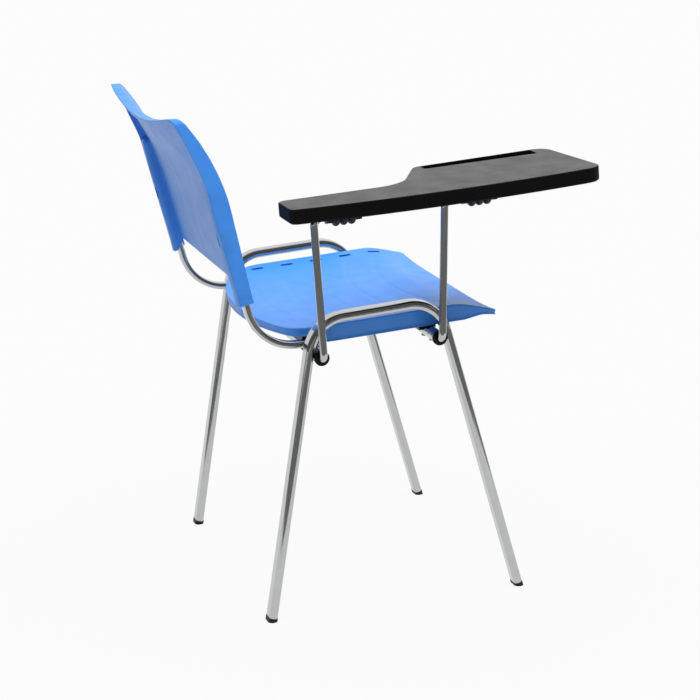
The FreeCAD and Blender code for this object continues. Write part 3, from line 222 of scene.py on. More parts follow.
def zinc_steel():
    """Zinc-plated screw steel: a dull silver with a bluish cast and fine spangled streaks."""
    material, tree = blank_material("zinc_plated_steel")
    place = add(tree, "ShaderNodeTexCoord", {}).outputs["Object"]
    spangle = add(tree, "ShaderNodeTexNoise", {"Vector": place, "Scale": per_mm(1.5), "Detail": 4.0})
    tone = add(tree, "ShaderNodeValToRGB", {"Fac": spangle.outputs["Fac"]})
    for stop, share, grey in zip(tone.color_ramp.elements, (0.35, 0.7), ("#9BA3AB", "#C3C7C6")):
        stop.position = share
        stop.color = linear(grey)
    roughness = add(
        tree,
        "ShaderNodeMapRange",
        {"Value": spangle.outputs["Fac"], "From Min": 0.3, "From Max": 0.7, "To Min": 0.25, "To Max": 0.42},
    )
    shader = add(
        tree,
        "ShaderNodeBsdfPrincipled",
        {"Base Color": tone.outputs["Color"], "Metallic": 1.0, "Roughness": roughness.outputs["Result"]},
    )
    add(tree, "ShaderNodeOutputMaterial", {"Surface": shader.outputs["BSDF"]})
    return material


FINISHES = {
    "chromed_tube": chromed_steel(),
    "blue_shell": blue_polypropylene(),
    # Writing tablet of ABS with a leather-grained mould face: black, with a grey sheen at a low angle
    "black_tablet": black_moulding(
        "black_abs_leather_grain",
        ("#060607", "#0B0B0C"),
        grain_mm=1.4,
        relief_mm=0.12,
        smoothest=0.31,
        roughest=0.4,
        side_matt=0.45,
    ),
    # Nylon hinge, bush and saddle mouldings: smooth black with a low sheen
    "black_moulding": black_moulding(
        "black_nylon_moulded",
        ("#070707", "#0E0E0E"),
        grain_mm=0.9,
        relief_mm=0.05,
        smoothest=0.32,
        roughest=0.45,
    ),
    # Polyethylene foot plugs: dull black, scuffed in patches
    "foot_plastic": black_moulding(
        "black_polyethylene_moulded",
        ("#0C0C0C", "#161616"),
        grain_mm=1.2,
        relief_mm=0.08,
        smoothest=0.45,
        roughest=0.62,
    ),
    # Hinge screws of steel under black oxide: near black, with a faint oily patchiness
    "black_screw": black_moulding(
        "black_oxide_steel",
        ("#0B0B0C", "#1A1A1B"),
        grain_mm=0.6,
        relief_mm=0.03,
        smoothest=0.4,
        roughest=0.55,
    ),
    "zinc_steel": zinc_steel(),
}

for subpart in frame["record"]["subparts"]:
    node = frame["nodes"][subpart["node"]]
    node.data.materials.clear()
    node.data.materials.append(FINISHES[subpart["material_slot"]])


# Mesh work shared by the pieces: edges that turn by more than SHARP stay crisp, points within WELD are one

SHARP = math.radians(50)
WELD = 0.002


def put_in_scene(name, data):
    """An object of the scene that holds this mesh, lamp or lens."""
    holder = bpy.data.objects.new(name, data)
    bpy.context.scene.collection.objects.link(holder)
    return holder


def solid_piece(name, points, faces):
    """An object from points in millimetres, welded and with its faces turned outwards."""
    mesh = bpy.data.meshes.new(name)
    mesh.from_pydata([at(point) for point in points], [], faces)
    clean = bmesh.new()
    clean.from_mesh(mesh)
    bmesh.ops.remove_doubles(clean, verts=clean.verts, dist=WELD * MM)
    bmesh.ops.recalc_face_normals(clean, faces=clean.faces)
    clean.to_mesh(mesh)
    clean.free()
    return put_in_scene(name, mesh)


def settle(piece):
    """Replace a piece's mesh by what its modifiers make of it."""
    bpy.context.view_layer.update()
    worked = piece.evaluated_get(bpy.context.evaluated_depsgraph_get())
    rough = piece.data
    piece.data = bpy.data.meshes.new_from_object(worked)
    piece.modifiers.clear()
    bpy.data.meshes.remove(rough)


def combine(piece, other, operation):
    """Take another shape out of a piece, or join it on."""
    working = piece.modifiers.new("combine", "BOOLEAN")
    working.operation = operation
    working.solver = "EXACT"
    working.object = other
    settle(piece)
    bpy.data.objects.remove(other)


def finish_piece(piece, slot, body, stands_for):
    """Shade a piece, give it its finish and say what it belongs to."""
    piece.data.shade_smooth()
    piece.data.set_sharp_from_angle(angle=SHARP)
    piece.data.materials.clear()
    piece.data.materials.append(FINISHES[slot])
    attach(piece, body)
    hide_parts(stands_for)


def grid_faces(columns, rows, start=0):
    """Four-sided faces over a grid that is stored column by column."""
    faces = []
    for column in range(columns - 1):
        for row in range(rows - 1):
            low = start + column * rows + row
            faces.append((low, low + rows, low + rows + 1, low + 1))
    return faces


def bar(name, outline, origin, across, along, length):
    """A straight bar: an outline in the plane of across and along, drawn along their cross product."""
    across = Vector(across).normalized()
    along = Vector(along).normalized()
    way = across.cross(along) * length
    base = [Vector(origin) + across * u + along * v for u, v in outline]
    count = len(base)
    faces = [tuple(reversed(range(count))), tuple(range(count, 2 * count))]
    faces += [(i, (i + 1) % count, count + (i + 1) % count, count + i) for i in range(count)]
    return solid_piece(name, base + [point + way for point in base], faces)


def rounded_slot(length, width, steps=8):
    """Outline of a slot with round ends, its length upwards."""
    radius = width / 2
    reach = length / 2 - radius
    outline = []
    for end, first in ((1, 0.0), (-1, math.pi)):
        for step in range(steps + 1):
            angle = first + math.pi * step / steps
            outline.append((radius * math.cos(angle), end * reach + radius * math.sin(angle)))
    return outline


def arc(centre, radius, angles):
    """Points along an arc, each with the way out from it."""
    made = []
    for angle in angles:
        out = (math.cos(angle), math.sin(angle))
        made.append(((centre[0] + radius * out[0], centre[1] + radius * out[1]), out))
    return made


def edge_drop(distance, radius):
    """How far a rounded edge has fallen at a distance inside it."""
    inside = min(max(radius - distance, 0.0), radius)
    return radius - math.sqrt(radius**2 - inside**2)


def smooth_step(value):
    """From 0 to 1 without corners, as value goes from 0 to 1."""
    held = np.clip(value, 0.0, 1.0)
    return held * held * (3 - 2 * held)


# Seat: drawn level about its own middle, then tilted and lifted onto the chair

SEAT_HALF = 229.5
SEAT_REACH = 186.0
SEAT_REAR = 181.5
SEAT_ORIGIN = 469.7
SEAT_TILT = math.radians(2.9)
SEAT_EDGE = 2.2
SEAT_WALL = 3.5

# In plan it has small corners at the nose, large ones behind, and a broad arc along the rear
NOSE_CORNER = 8.0
SEAT_CORNER = 75.0
SEAT_REAR_RADIUS = 537.0
REAR_CENTRE = SEAT_REAR - SEAT_REAR_RADIUS
CORNER_X = SEAT_HALF - SEAT_CORNER
CORNER_Y = REAR_CENTRE + math.sqrt((SEAT_REAR_RADIUS - SEAT_CORNER) ** 2 - CORNER_X**2)

# The front rolls down in an arc and runs on as a straight slope
NOSE_START = -108.0
NOSE_RADIUS = 107.0
NOSE_SLOPE = math.radians(17.5)

# The dish is deepest in the middle, and nearly flat from side to side
DISH_AT_ENDS = 6.5
DISH_DEEPER = 9.5
DISH_FLATNESS = 5

SLOT_LENGTH = 22.0
SLOT_WIDTH = 6.4
SLOT_X = 213.0
SLOT_REARMOST = 87.0
SLOT_PITCH = 53.3
SLOT_LINES = [SLOT_REARMOST - SLOT_PITCH * count for count in range(5)]

# A shallow crease, an arc like that of the rear edge, crosses the seat from slot to slot
CREASE_REACH = 205.0
CREASE_HALF = 3.2
CREASE_DEPTH = 0.55
CREASE_FADE = 8
CREASE_CENTRE = math.sqrt(SEAT_REAR_RADIUS**2 - CREASE_REACH**2)

# The skirt's lower edge as y and height, its draft, its least depth, and the height of the bead along it
SKIRT_LINE = (
    (-196.0, -28.9),
    (-161.0, -24.15),
    (-132.0, -29.0),
    (98.0, -29.0),
    (105.25, -17.0),
    (196.0, -23.0),
)
SKIRT_DRAFT = 0.17
SKIRT_LEAST = 7.0
BEAD_HEIGHT = 3.0

# Rows of the skirt: share of the way down to the bead, then how far down and out on the bead
SKIRT_ROWS = (
    (0.12, 0.0, 0.0),
    (0.3, 0.0, 0.0),
    (0.55, 0.0, 0.0),
    (0.8, 0.0, 0.0),
    (1.0, 0.0, 0.0),
    (1.0, 0.8, 0.55),
    (1.0, 1.7, 1.0),
    (1.0, 2.5, 0.9),
    (1.0, 3.0, 0.3),
)

# Screw bosses: y and the top of the saddle below, then share of the height and radius for each ring
BOSS_X = 190.0
BOSS_PLACES = ((113.7, 445.5), (-77.9, 456.9))
BOSS_RINGS = ((0.0, 10.9), (0.03, 11.6), (0.08, 12.0), (0.4, 12.2), (0.7, 12.4), (1.0, 12.6))
BOSS_AROUND = 64
BOSS_SUNK = 0.5 * SEAT_WALL
GUSSETS = 4
GUSSET_REACH = 5.0
GUSSET_FLARE = 1.5
GUSSET_THINNESS = 6

# Mesh of the seat: steps along its edge, rings in from the edge, rings round a slot with the fall of each,
# lines along a crease, and an even field between them
NOSE_STEPS = 32
NOSE_CORNER_STEPS = 6
SIDE_STEPS = 40
CORNER_STEPS = 21
REAR_STEPS = 28
EDGE_RINGS = (0.0, 0.12, 0.4, 0.85, 1.45, 2.2, 5.0)
SLOT_RINGS = ((0.0, 0.6), (0.25, 0.2), (0.7, 0.0), (2.2, 0.0))
CREASE_ROWS = (-1.0, -0.5, 0.0, 0.5, 1.0)
CREASE_END = 204.0
CREASE_POINTS = 52
FIELD_STEP = 8.0
FIELD_HALF = 220.0
FIELD_REACH = 176.0
AS_TRIANGLES = 0
PLAN_WELD = 0.01

# How far the field keeps clear of the creases and their ends, of the slots and of the rear edge
CREASE_CLEAR = 6.5
CREASE_END_CLEAR = 208.0
SLOT_SIDE_CLEAR = 7.0
SLOT_END_CLEAR = 16.0
EDGE_CLEAR = 11.0


def seat_fall(y):
    """How far the front of the seat has rolled down."""
    reach = max(0.0, NOSE_START - y)
    bent = min(reach, NOSE_RADIUS * math.sin(NOSE_SLOPE))
    return NOSE_RADIUS - math.sqrt(NOSE_RADIUS**2 - bent**2) + (reach - bent) * math.tan(NOSE_SLOPE)


def crease_offset(x, y, line):
    """Distance of a place from the arc that crosses the seat between two slots."""
    return math.hypot(x, y - line + CREASE_CENTRE) - SEAT_REAR_RADIUS


def seat_height(x, y):
    """The dished upper face, with a shallow crease across it from slot to slot."""
    dish = DISH_AT_ENDS + DISH_DEEPER * (1 - (y / SEAT_REACH) ** 2)
    crease = 0.0
    for line in SLOT_LINES:
        near = max(0.0, 1 - (crease_offset(x, y, line) / CREASE_HALF) ** 2)
        crease += CREASE_DEPTH * near * max(0.0, 1 - abs(x / CREASE_REACH) ** CREASE_FADE)
    return -seat_fall(y) - dish * max(0.0, 1 - abs(x / SEAT_HALF) ** DISH_FLATNESS) - crease


def skirt_bottom(y):
    """Height of the skirt's lower edge."""
    return float(np.interp(y, *zip(*SKIRT_LINE)))


def on_seat(x, y, z):
    """From the seat's own level frame to the tilted seat on the chair."""
    return (
        x,
        y * math.cos(SEAT_TILT) + z * math.sin(SEAT_TILT),
        -y * math.sin(SEAT_TILT) + z * math.cos(SEAT_TILT) + SEAT_ORIGIN,
    )


def seat_outline():
    """The seat's edge in plan, one half and its mirror: points and the way out from each."""
    nose = SEAT_HALF - NOSE_CORNER
    side_start = -SEAT_REACH + NOSE_CORNER
    side = CORNER_Y - side_start
    turn = math.atan2(CORNER_Y - REAR_CENTRE, CORNER_X)
    quarter = math.pi / 2
    nose_step = 90 / NOSE_CORNER_STEPS
    nose_angles = [math.radians(-90 + nose_step * step) for step in range(NOSE_CORNER_STEPS + 1)]
    corner_angles = [turn * step / CORNER_STEPS for step in range(CORNER_STEPS + 1)]
    rear_angles = [turn + (quarter - turn) * step / REAR_STEPS for step in range(1, REAR_STEPS)]
    half = [((nose * step / NOSE_STEPS, -SEAT_REACH), (0, -1)) for step in range(NOSE_STEPS)]
    half += arc((nose, side_start), NOSE_CORNER, nose_angles)
    half += [((SEAT_HALF, side_start + side * step / SIDE_STEPS), (1, 0)) for step in range(1, SIDE_STEPS)]
    half += arc((CORNER_X, CORNER_Y), SEAT_CORNER, corner_angles)
    half += arc((0.0, REAR_CENTRE), SEAT_REAR_RADIUS, rear_angles)
    middle = [((0.0, SEAT_REAR), (0, 1))]
    mirrored = [((-x, y), (-out[0], out[1])) for (x, y), out in reversed(half[1:])]
    return half + middle + mirrored


def in_field(x, y):
    """Whether a place on the seat is clear of creases, slots, rear edge and corners."""
    near_line = min(abs(crease_offset(x, y, line)) for line in SLOT_LINES) < CREASE_CLEAR
    on_crease = near_line and abs(x) < CREASE_END_CLEAR
    beside_slot = min(abs(y - line) for line in SLOT_LINES) < SLOT_END_CLEAR
    near_slot = abs(abs(x) - SLOT_X) < SLOT_SIDE_CLEAR and beside_slot
    over_rear = math.hypot(x, y - REAR_CENTRE) > SEAT_REAR_RADIUS - EDGE_CLEAR
    corner = Vector((abs(x) - CORNER_X, y - CORNER_Y))
    over_corner = corner.x > 0 and corner.y > 0 and corner.length > SEAT_CORNER - EDGE_CLEAR
    return not (on_crease or near_slot or over_rear or over_corner)


def seat_plan(outline):
    """The seat in plan: points, the drop of each, edges to keep, and which points rim a slot."""
    spots, drops, edges, rims = [], [], [], []

    def loop(points, drop):
        first = len(spots)
        spots.extend(points)
        drops.extend([drop] * len(points))
        edges.extend((first + i, first + (i + 1) % len(points)) for i in range(len(points)))
        return set(range(first, first + len(points)))

    for inset in EDGE_RINGS:
        ring = [(x - out[0] * inset, y - out[1] * inset) for (x, y), out in outline]
        loop(ring, edge_drop(inset, SEAT_EDGE))
    for side in (-1, 1):
        for line in SLOT_LINES:
            for spread, drop in SLOT_RINGS:
                shape = rounded_slot(SLOT_LENGTH + 2 * spread, SLOT_WIDTH + 2 * spread)
                rim = loop([(side * SLOT_X + u, line + v) for u, v in shape], drop)
                if spread == 0.0:
                    rims.append(rim)
    across = np.linspace(-CREASE_END, CREASE_END, CREASE_POINTS)
    for line in SLOT_LINES:
        for off in CREASE_ROWS:
            radius = SEAT_REAR_RADIUS + off * CREASE_HALF
            spots.extend((x, line - CREASE_CENTRE + math.sqrt(radius**2 - x**2)) for x in across)
    for x in np.arange(-FIELD_HALF, FIELD_HALF + 1, FIELD_STEP):
        for y in np.arange(-FIELD_REACH, FIELD_REACH + 1, FIELD_STEP):
            if in_field(x, y):
                spots.append((x, y))
    drops.extend([0.0] * (len(spots) - len(drops)))
    return spots, drops, edges, rims


def seat_boss(x, y, saddle_top):
    """A screw boss under the seat, with gussets that spread towards the shell."""
    points = []
    for share, radius in BOSS_RINGS:
        for step in range(BOSS_AROUND):
            angle = 2 * math.pi * step / BOSS_AROUND
            ridge = max(0.0, math.cos(GUSSETS * angle)) ** GUSSET_THINNESS
            reach = radius + GUSSET_REACH * share**GUSSET_FLARE * ridge
            spot = (x + reach * math.cos(angle), y + reach * math.sin(angle))
            shell = on_seat(*spot, seat_height(*spot))[2] - BOSS_SUNK
            points.append((*spot, saddle_top + (shell - saddle_top) * share))
    faces = []
    last = (len(BOSS_RINGS) - 1) * BOSS_AROUND
    for ring in range(0, last, BOSS_AROUND):
        for step in range(BOSS_AROUND):
            here = ring + step
            ahead = ring + (step + 1) % BOSS_AROUND
            faces.append((here, ahead, ahead + BOSS_AROUND, here + BOSS_AROUND))
    faces += [tuple(reversed(range(BOSS_AROUND))), tuple(range(last, last + BOSS_AROUND))]
    return solid_piece("seat_boss", points, faces)


def seat_piece():
    """Moulded seat: dished top, ten slots, rolled edge, a skirt with a bead along it, and four bosses."""
    outline = seat_outline()
    spots, drops, edges, rims = seat_plan(outline)
    flat = [Vector(spot) for spot in spots]
    placed, _, faces, origins, _, _ = delaunay_2d_cdt(flat, edges, [], AS_TRIANGLES, PLAN_WELD)
    points = []
    for spot, source in zip(placed, origins):
        drop = drops[source[0]] if source else 0.0
        points.append(on_seat(spot.x, spot.y, seat_height(spot.x, spot.y) - drop))
    rim_places = {source[0]: index for index, source in enumerate(origins) if source}
    open_rims = [{rim_places[i] for i in rim if i in rim_places} for rim in rims]
    kept = [face for face in faces if not any(set(face) <= rim for rim in open_rims)]
    count = len(outline)
    last = [rim_places[i] for i in range(count)]
    for share, down, bead in SKIRT_ROWS:
        row = []
        for (x, y), way in outline:
            top = seat_height(x, y) - SEAT_EDGE
            bottom = min(skirt_bottom(y), top - SKIRT_LEAST)
            z = top + (bottom + BEAD_HEIGHT - top) * share - down
            out = bead - SKIRT_DRAFT * (top - bottom) * share
            row.append(len(points))
            points.append(on_seat(x + way[0] * out, y + way[1] * out, z))
        kept += [(last[i], row[i], row[(i + 1) % count], last[(i + 1) % count]) for i in range(count)]
        last = row
    seat = solid_piece("moulded_seat", points, kept)
    # The wall grows inwards, so that the drawn face stays the outer one
    wall = seat.modifiers.new("wall", "SOLIDIFY")
    wall.thickness = SEAT_WALL * MM
    wall.offset = -1.0
    wall.use_even_offset = False
    settle(seat)
    for side in (-1, 1):
        for y, saddle_top in BOSS_PLACES:
            combine(seat, seat_boss(side * BOSS_X, y, saddle_top), "UNION")
    finish_piece(seat, "blue_shell", "chair", "seat_shell")


# Back rest: a panel between two sleeves that slide over the uprights

BACK_BOTTOM = 509.5
BACK_TOP = 799.5
BACK_HALF = 231.7
BACK_TOP_HALF = 223.7
BACK_INNER = 203.3
BACK_WIDE = 220.7
BACK_SHOULDER = 705.0
BACK_CORNER = 10.0
BACK_EDGE = 2.2
TAPER_START = 682.0
TAPER_END = BACK_TOP - BACK_CORNER

# The hollow between the sides, and the dip of the top edge between its two horns
BACK_BOW = 25.0
BACK_BOW_GROWTH = 2.4
BACK_DIP = 22.0
BACK_DIP_POWER = 1.2
HORN = 212.0

# The uprights' middle line: a point on it and its lean
UPRIGHT_X = 217.5
UPRIGHT_Y = 202.0
UPRIGHT_Z = 436.0
UPRIGHT_LEAN = math.radians(13.4)

# Side views of the front and rear: offset from the upright, lean in degrees, straight run, radius above it
FRONT_FACE = (-7.7, 11.0, 145.0, 330.0)
REAR_FACE = (10.6, 13.4, 179.0, 336.0)

# The front curls forwards at the sides, and the rear swells a little below the top edge
FRONT_CURL = 3.0
FRONT_CURL_POWER = 6
REAR_SWELL = 2.6
REAR_SWELL_Z = 742.0
REAR_SWELL_SPREAD = 28.0

# The recessed panel: how far above the foot it starts, its depth by height, and its lower chamfer
PANEL_RISE = 20.0
PANEL_BOTTOM = BACK_BOTTOM + PANEL_RISE
PANEL_DEPTH = ((509.5, 15.6), (650.0, 15.6), (705.0, 12.5), (740.0, 10.0), (775.0, 8.5), (800.0, 7.0))
PANEL_CHAMFER = 2.4

# What stands proud of the panel: the crowned sleeves, and the rim along the sides and top
SLEEVE_ROUND = 10.0
SLEEVE_CROWN = 2.2
SLEEVE_CROWN_FADE = 60.0
SLEEVE_RIDGE = 214.0
SLEEVE_FOOT = 17.0
RIM_WIDTH = 8.0
RIM_ROUND = 1.2
STEP_WIDTH = 1.0

# The bore for the upright, cut from below the foot, and the slot for the latch behind it
BORE = (22.4, 11.4)
BORE_STEPS = 12
BORE_BELOW = 30
BORE_RISE = 167.0
BORE_SPARE = 2.7
LATCH = (20.0, 10.0)
LATCH_RISE = 100
LATCH_CUT = 40

# The foot of a sleeve is open towards the middle and in front, so that the tube shows: x from and to, and
# the opening's outline as y and z
MOUTH_TOP = 529.3
MOUTHS = (
    (199.4, 210.0, (
        (200.0, 500.0),
        (229.6, 500.0),
        (228.8, 507.0),
        (219.6, 521.0),
        (219.7, MOUTH_TOP),
        (200.0, MOUTH_TOP),
    )),
    (199.4, 228.5, (
        (200.0, 500.0),
        (216.0, 500.0),
        (216.0, MOUTH_TOP),
        (200.0, MOUTH_TOP),
    )),
)

# Mesh lines of the back, close together at each step: columns out from the middle, the last ones as shares
# of the way to the tapered side
SIDE_COLUMN = 221.6
COLUMNS = (
    *range(0, 181, 12),
    187, 192, 196, 199, 201, 202, 202.6, 203.0, 203.4, 203.8, 204.4, 205.2, 206.2, 207.4, 208.8,
    210.5, 213, 216, 218, 219.3, 220.0, 220.4, 220.8, 221.2, SIDE_COLUMN,
)
SIDE_SHARES = (0.25, 0.45, 0.62, 0.74, 0.8, 0.86, 0.92, 0.96, 0.985, 1.0)

# Rows: up from the foot of a sleeve and of the panel, level ones, and down from the top edge
SLEEVE_ROWS = (0.0, 0.25, 0.8, 1.6, 3.0, 7.0, 12.0, 17.0)
PANEL_ROWS = (0.0, 0.12, 0.35, 0.7, 1.15, 1.6, 2.1, 2.6)
FOOT_STEP = 0.7
LEVEL_ROWS = (
    532.6, 533.0, 533.4, 533.8, 534.4, 536, 540, 546, 553,
    *range(560, 690, 10),
    687, 691, 694, 696.5, 698.5, 700.2, 701.6, 702.8, 703.7, 704.3, 704.7, 705.0, 705.4, 706, 708,
    713, 720, 728, 736, 745, 755,
)
BLEND_ROWS = 5
BLEND_END = 14
RIM_ROWS = (12, 10, 9, 8.6, 8.2, 7.8, 7.4, 6.5, 5, 3.6, 2.6, 1.8, 1.1, 0.6, 0.25, 0.08, 0.0)

# Points along the sides, from below the foot, and along the top, from which the rounded edge is measured
SIDE_BELOW = 20.0
SIDE_SAMPLES = 200
TOP_SAMPLES = 400


def upright_y(z):
    """Where an upright's middle line is at a height."""
    return UPRIGHT_Y + (z - UPRIGHT_Z) * math.tan(UPRIGHT_LEAN)


def bent_line(offset, lean, straight, radius, z):
    """Side view of a face: a straight run from the bottom, then one arc leaning further back."""
    angle = math.radians(lean)
    start = upright_y(BACK_BOTTOM) + offset / math.cos(UPRIGHT_LEAN)
    above = z - BACK_BOTTOM
    rise = np.maximum(above - straight, 0.0) + radius * math.sin(angle)
    bend = radius * math.cos(angle) - np.sqrt(radius**2 - rise**2)
    return start + np.minimum(above, straight) * math.tan(angle) + bend


def back_bow(x, z):
    """How far the back is hollowed between its sides, growing towards the top."""
    across = np.maximum(0.0, 1 - (x / BACK_TOP_HALF) ** 2)
    upward = np.maximum(0.0, (z - BACK_BOTTOM) / (BACK_TOP - BACK_BOTTOM))
    return BACK_BOW * across * upward**BACK_BOW_GROWTH


def back_top(x):
    """Height of the top edge: dipped between the horns, rounded at the corners."""
    x = np.abs(x)
    dip = BACK_TOP - BACK_DIP * (1 - np.minimum(x / HORN, 1.0) ** 2) ** BACK_DIP_POWER
    past = np.clip(x - (BACK_TOP_HALF - BACK_CORNER), 0.0, BACK_CORNER)
    return dip - BACK_CORNER + np.sqrt(BACK_CORNER**2 - past**2)


def back_half(z):
    """Half the back's width, drawn in towards the top."""
    return np.interp(z, (TAPER_START, TAPER_END), (BACK_HALF, BACK_TOP_HALF))


def back_grid():
    """Where the mesh lines of the back lie, seen from the front: x and z for each column and row."""
    half = [*COLUMNS] + [SIDE_COLUMN] * len(SIDE_SHARES)
    shares = [0.0] * len(COLUMNS) + [*SIDE_SHARES]
    base = np.array([-x for x in reversed(half[1:])] + half)
    share = np.array([*reversed(shares[1:])] + shares)
    top = back_top(np.abs(base) + share * (BACK_TOP_HALF - SIDE_COLUMN))
    on_panel = np.clip((BACK_INNER + FOOT_STEP / 2 - np.abs(base)) / FOOT_STEP, 0.0, 1.0)
    heights = []
    for up, panel_up in zip(SLEEVE_ROWS, PANEL_ROWS):
        heights.append((BACK_BOTTOM + up) * (1 - on_panel) + (PANEL_BOTTOM + panel_up) * on_panel)
    heights += [np.full_like(base, z) for z in LEVEL_ROWS]
    level_top = LEVEL_ROWS[-1]
    blend = top - BLEND_END - level_top
    heights += [level_top + blend * step / BLEND_ROWS for step in range(1, BLEND_ROWS + 1)]
    heights += [top - depth for depth in RIM_ROWS]
    z = np.array(heights).T
    x = np.sign(base)[:, None] * (np.abs(base)[:, None] + share[:, None] * (back_half(z) - SIDE_COLUMN))
    return x, z


def back_edge_distance(x, z):
    """Distance in from the back's sides and top edge."""
    line_z = np.linspace(BACK_BOTTOM - SIDE_BELOW, TAPER_END, SIDE_SAMPLES)
    line_x = np.linspace(0, BACK_TOP_HALF, TOP_SAMPLES)
    edge_x = np.concatenate([back_half(line_z), line_x])
    edge_z = np.concatenate([line_z, back_top(line_x)])
    apart = np.hypot(np.abs(x)[..., None] - edge_x, z[..., None] - edge_z)
    return apart.min(axis=-1)


def corner_distance(across, up, radius):
    """Distance in from a corner's two edges, where the corner has this radius."""
    rounded = radius - np.hypot(np.minimum(across - radius, 0.0), np.minimum(up - radius, 0.0))
    return np.where((across > radius) & (up > radius), np.minimum(across, up), rounded)


def back_faces(x, z):
    """The front and rear faces of the back, as y over the mesh lines."""
    drop = np.vectorize(edge_drop)
    across = np.abs(x)
    bow = back_bow(x, z)
    front = bent_line(*FRONT_FACE, z) + bow - FRONT_CURL * np.abs(x / BACK_HALF) ** FRONT_CURL_POWER
    swell = REAR_SWELL * np.exp(-(((z - REAR_SWELL_Z) / REAR_SWELL_SPREAD) ** 2))
    full = bent_line(*REAR_FACE, z) + bow + swell
    panel = full - np.interp(z, *zip(*PANEL_DEPTH))
    recess = panel - np.clip(PANEL_BOTTOM + PANEL_CHAMFER - z, 0.0, PANEL_CHAMFER)
    hump = np.maximum(0.0, 1 - ((across - SLEEVE_RIDGE) / (BACK_HALF - SLEEVE_RIDGE)) ** 2)
    crowned = SLEEVE_CROWN * hump * smooth_step((BACK_SHOULDER - z) / SLEEVE_CROWN_FADE)
    rear = recess
    for inside, roundness, rise in (
        (corner_distance(across - BACK_INNER, BACK_SHOULDER - z, SLEEVE_ROUND), SLEEVE_ROUND, crowned),
        (across - BACK_WIDE, RIM_ROUND, 0.0),
        (z - back_top(x) + RIM_WIDTH, RIM_ROUND, 0.0),
    ):
        proud = full + rise - drop(inside, roundness)
        rear = np.maximum(rear, recess + (proud - recess) * smooth_step(inside / STEP_WIDTH + 0.5))
    fall = drop(back_edge_distance(x, z), BACK_EDGE)
    return front + fall, rear - fall


def open_sleeve(back, side):
    """Cut a sleeve's bore for the upright, its latch slot and the mouth at its foot."""
    up = Vector((0, math.sin(UPRIGHT_LEAN), math.cos(UPRIGHT_LEAN)))
    rearward = Vector((0, math.cos(UPRIGHT_LEAN), -math.sin(UPRIGHT_LEAN)))
    foot = Vector((side * UPRIGHT_X, upright_y(BACK_BOTTOM), BACK_BOTTOM)) - up * BORE_BELOW
    bore = [(u, v) for v, u in rounded_slot(*BORE, BORE_STEPS)]
    depth = BORE_BELOW + BORE_RISE / up.z + BORE_SPARE
    combine(back, bar("bore", bore, foot, (1, 0, 0), rearward, depth), "DIFFERENCE")
    latch_z = BACK_BOTTOM + LATCH_RISE
    behind = Vector((side * SLEEVE_RIDGE, upright_y(latch_z) + LATCH_CUT, latch_z))
    latch = bar("latch", rounded_slot(*LATCH), behind, (1, 0, 0), (0, 0, 1), LATCH_CUT)
    combine(back, latch, "DIFFERENCE")
    for first, last, outline in MOUTHS:
        start = Vector((min(side * first, side * last), 0, 0))
        mouth = bar("mouth", outline, start, (0, 1, 0), (0, 0, 1), last - first)
        combine(back, mouth, "DIFFERENCE")


def back_piece():
    """Moulded back: bowed panel between two crowned sleeves, recessed behind, with a rim along the top."""
    x, z = back_grid()
    sleeve_foot = (np.abs(x) > BACK_INNER) & (z < PANEL_BOTTOM)
    near_foot = np.clip(1 - (z - BACK_BOTTOM) / SLEEVE_FOOT, 0.0, 1.0) * sleeve_foot
    columns, rows = x.shape
    points = []
    for y in back_faces(x, z):
        # The foot is cut square to the upright
        square = z - (y - upright_y(BACK_BOTTOM)) * math.tan(UPRIGHT_LEAN) * near_foot
        points += list(zip(x.ravel(), y.ravel(), square.ravel()))
    count = columns * rows
    faces = grid_faces(columns, rows) + [face[::-1] for face in grid_faces(columns, rows, count)]
    border = [column * rows for column in range(columns)]
    border += [(columns - 1) * rows + row for row in range(1, rows)]
    border += [column * rows + rows - 1 for column in range(columns - 2, -1, -1)]
    border += range(rows - 2, 0, -1)
    for here, there in zip(border, border[1:] + border[:1]):
        faces.append((here, there, count + there, count + here))
    back = solid_piece("moulded_back", points, faces)
    for side in (-1, 1):
        open_sleeve(back, side)
    finish_piece(back, "blue_shell", "chair", "back_shell")


seat_piece()
back_piece()


# Studio

FLOOR_REACH = 30.0
FLOOR_WHITE = 0.93

# The dark floor on the camera's side: its middle direction and spread, then nearest, widest and far reach
DIM_WAY = math.radians(163.0)
DIM_SPREAD = 110.0
DIM_STEPS = 44
DIM_NEAR = 920.0
DIM_BESIDE = 1550.0
DIM_FAR = 9000.0
DIM_HEIGHT = 2.0

FLAG_X = (-520, -318)
FLAG_Y = (-330, 120)
FLAG_Z = 640

# The side of the room that mirrors show as white
WHITE_SIDE = (0.951, -0.291, 0.1)

CAMERA_TURN = (-17.002, 15.076, 1.939)
CAMERA_PLACE = (-3287.2, 993.3, 1281.7)
CAMERA_LENS = 109.56
CAMERA_SENSOR = 36.0


def studio_card(name, points, faces, material, hidden_from=()):
    """A flat piece of the studio, hidden from the kinds of rays that are named."""
    mesh = bpy.data.meshes.new(name)
    mesh.from_pydata(points, [], faces)
    mesh.materials.append(material)
    card = put_in_scene(name, mesh)
    for rays in hidden_from:
        setattr(card, f"visible_{rays}", False)


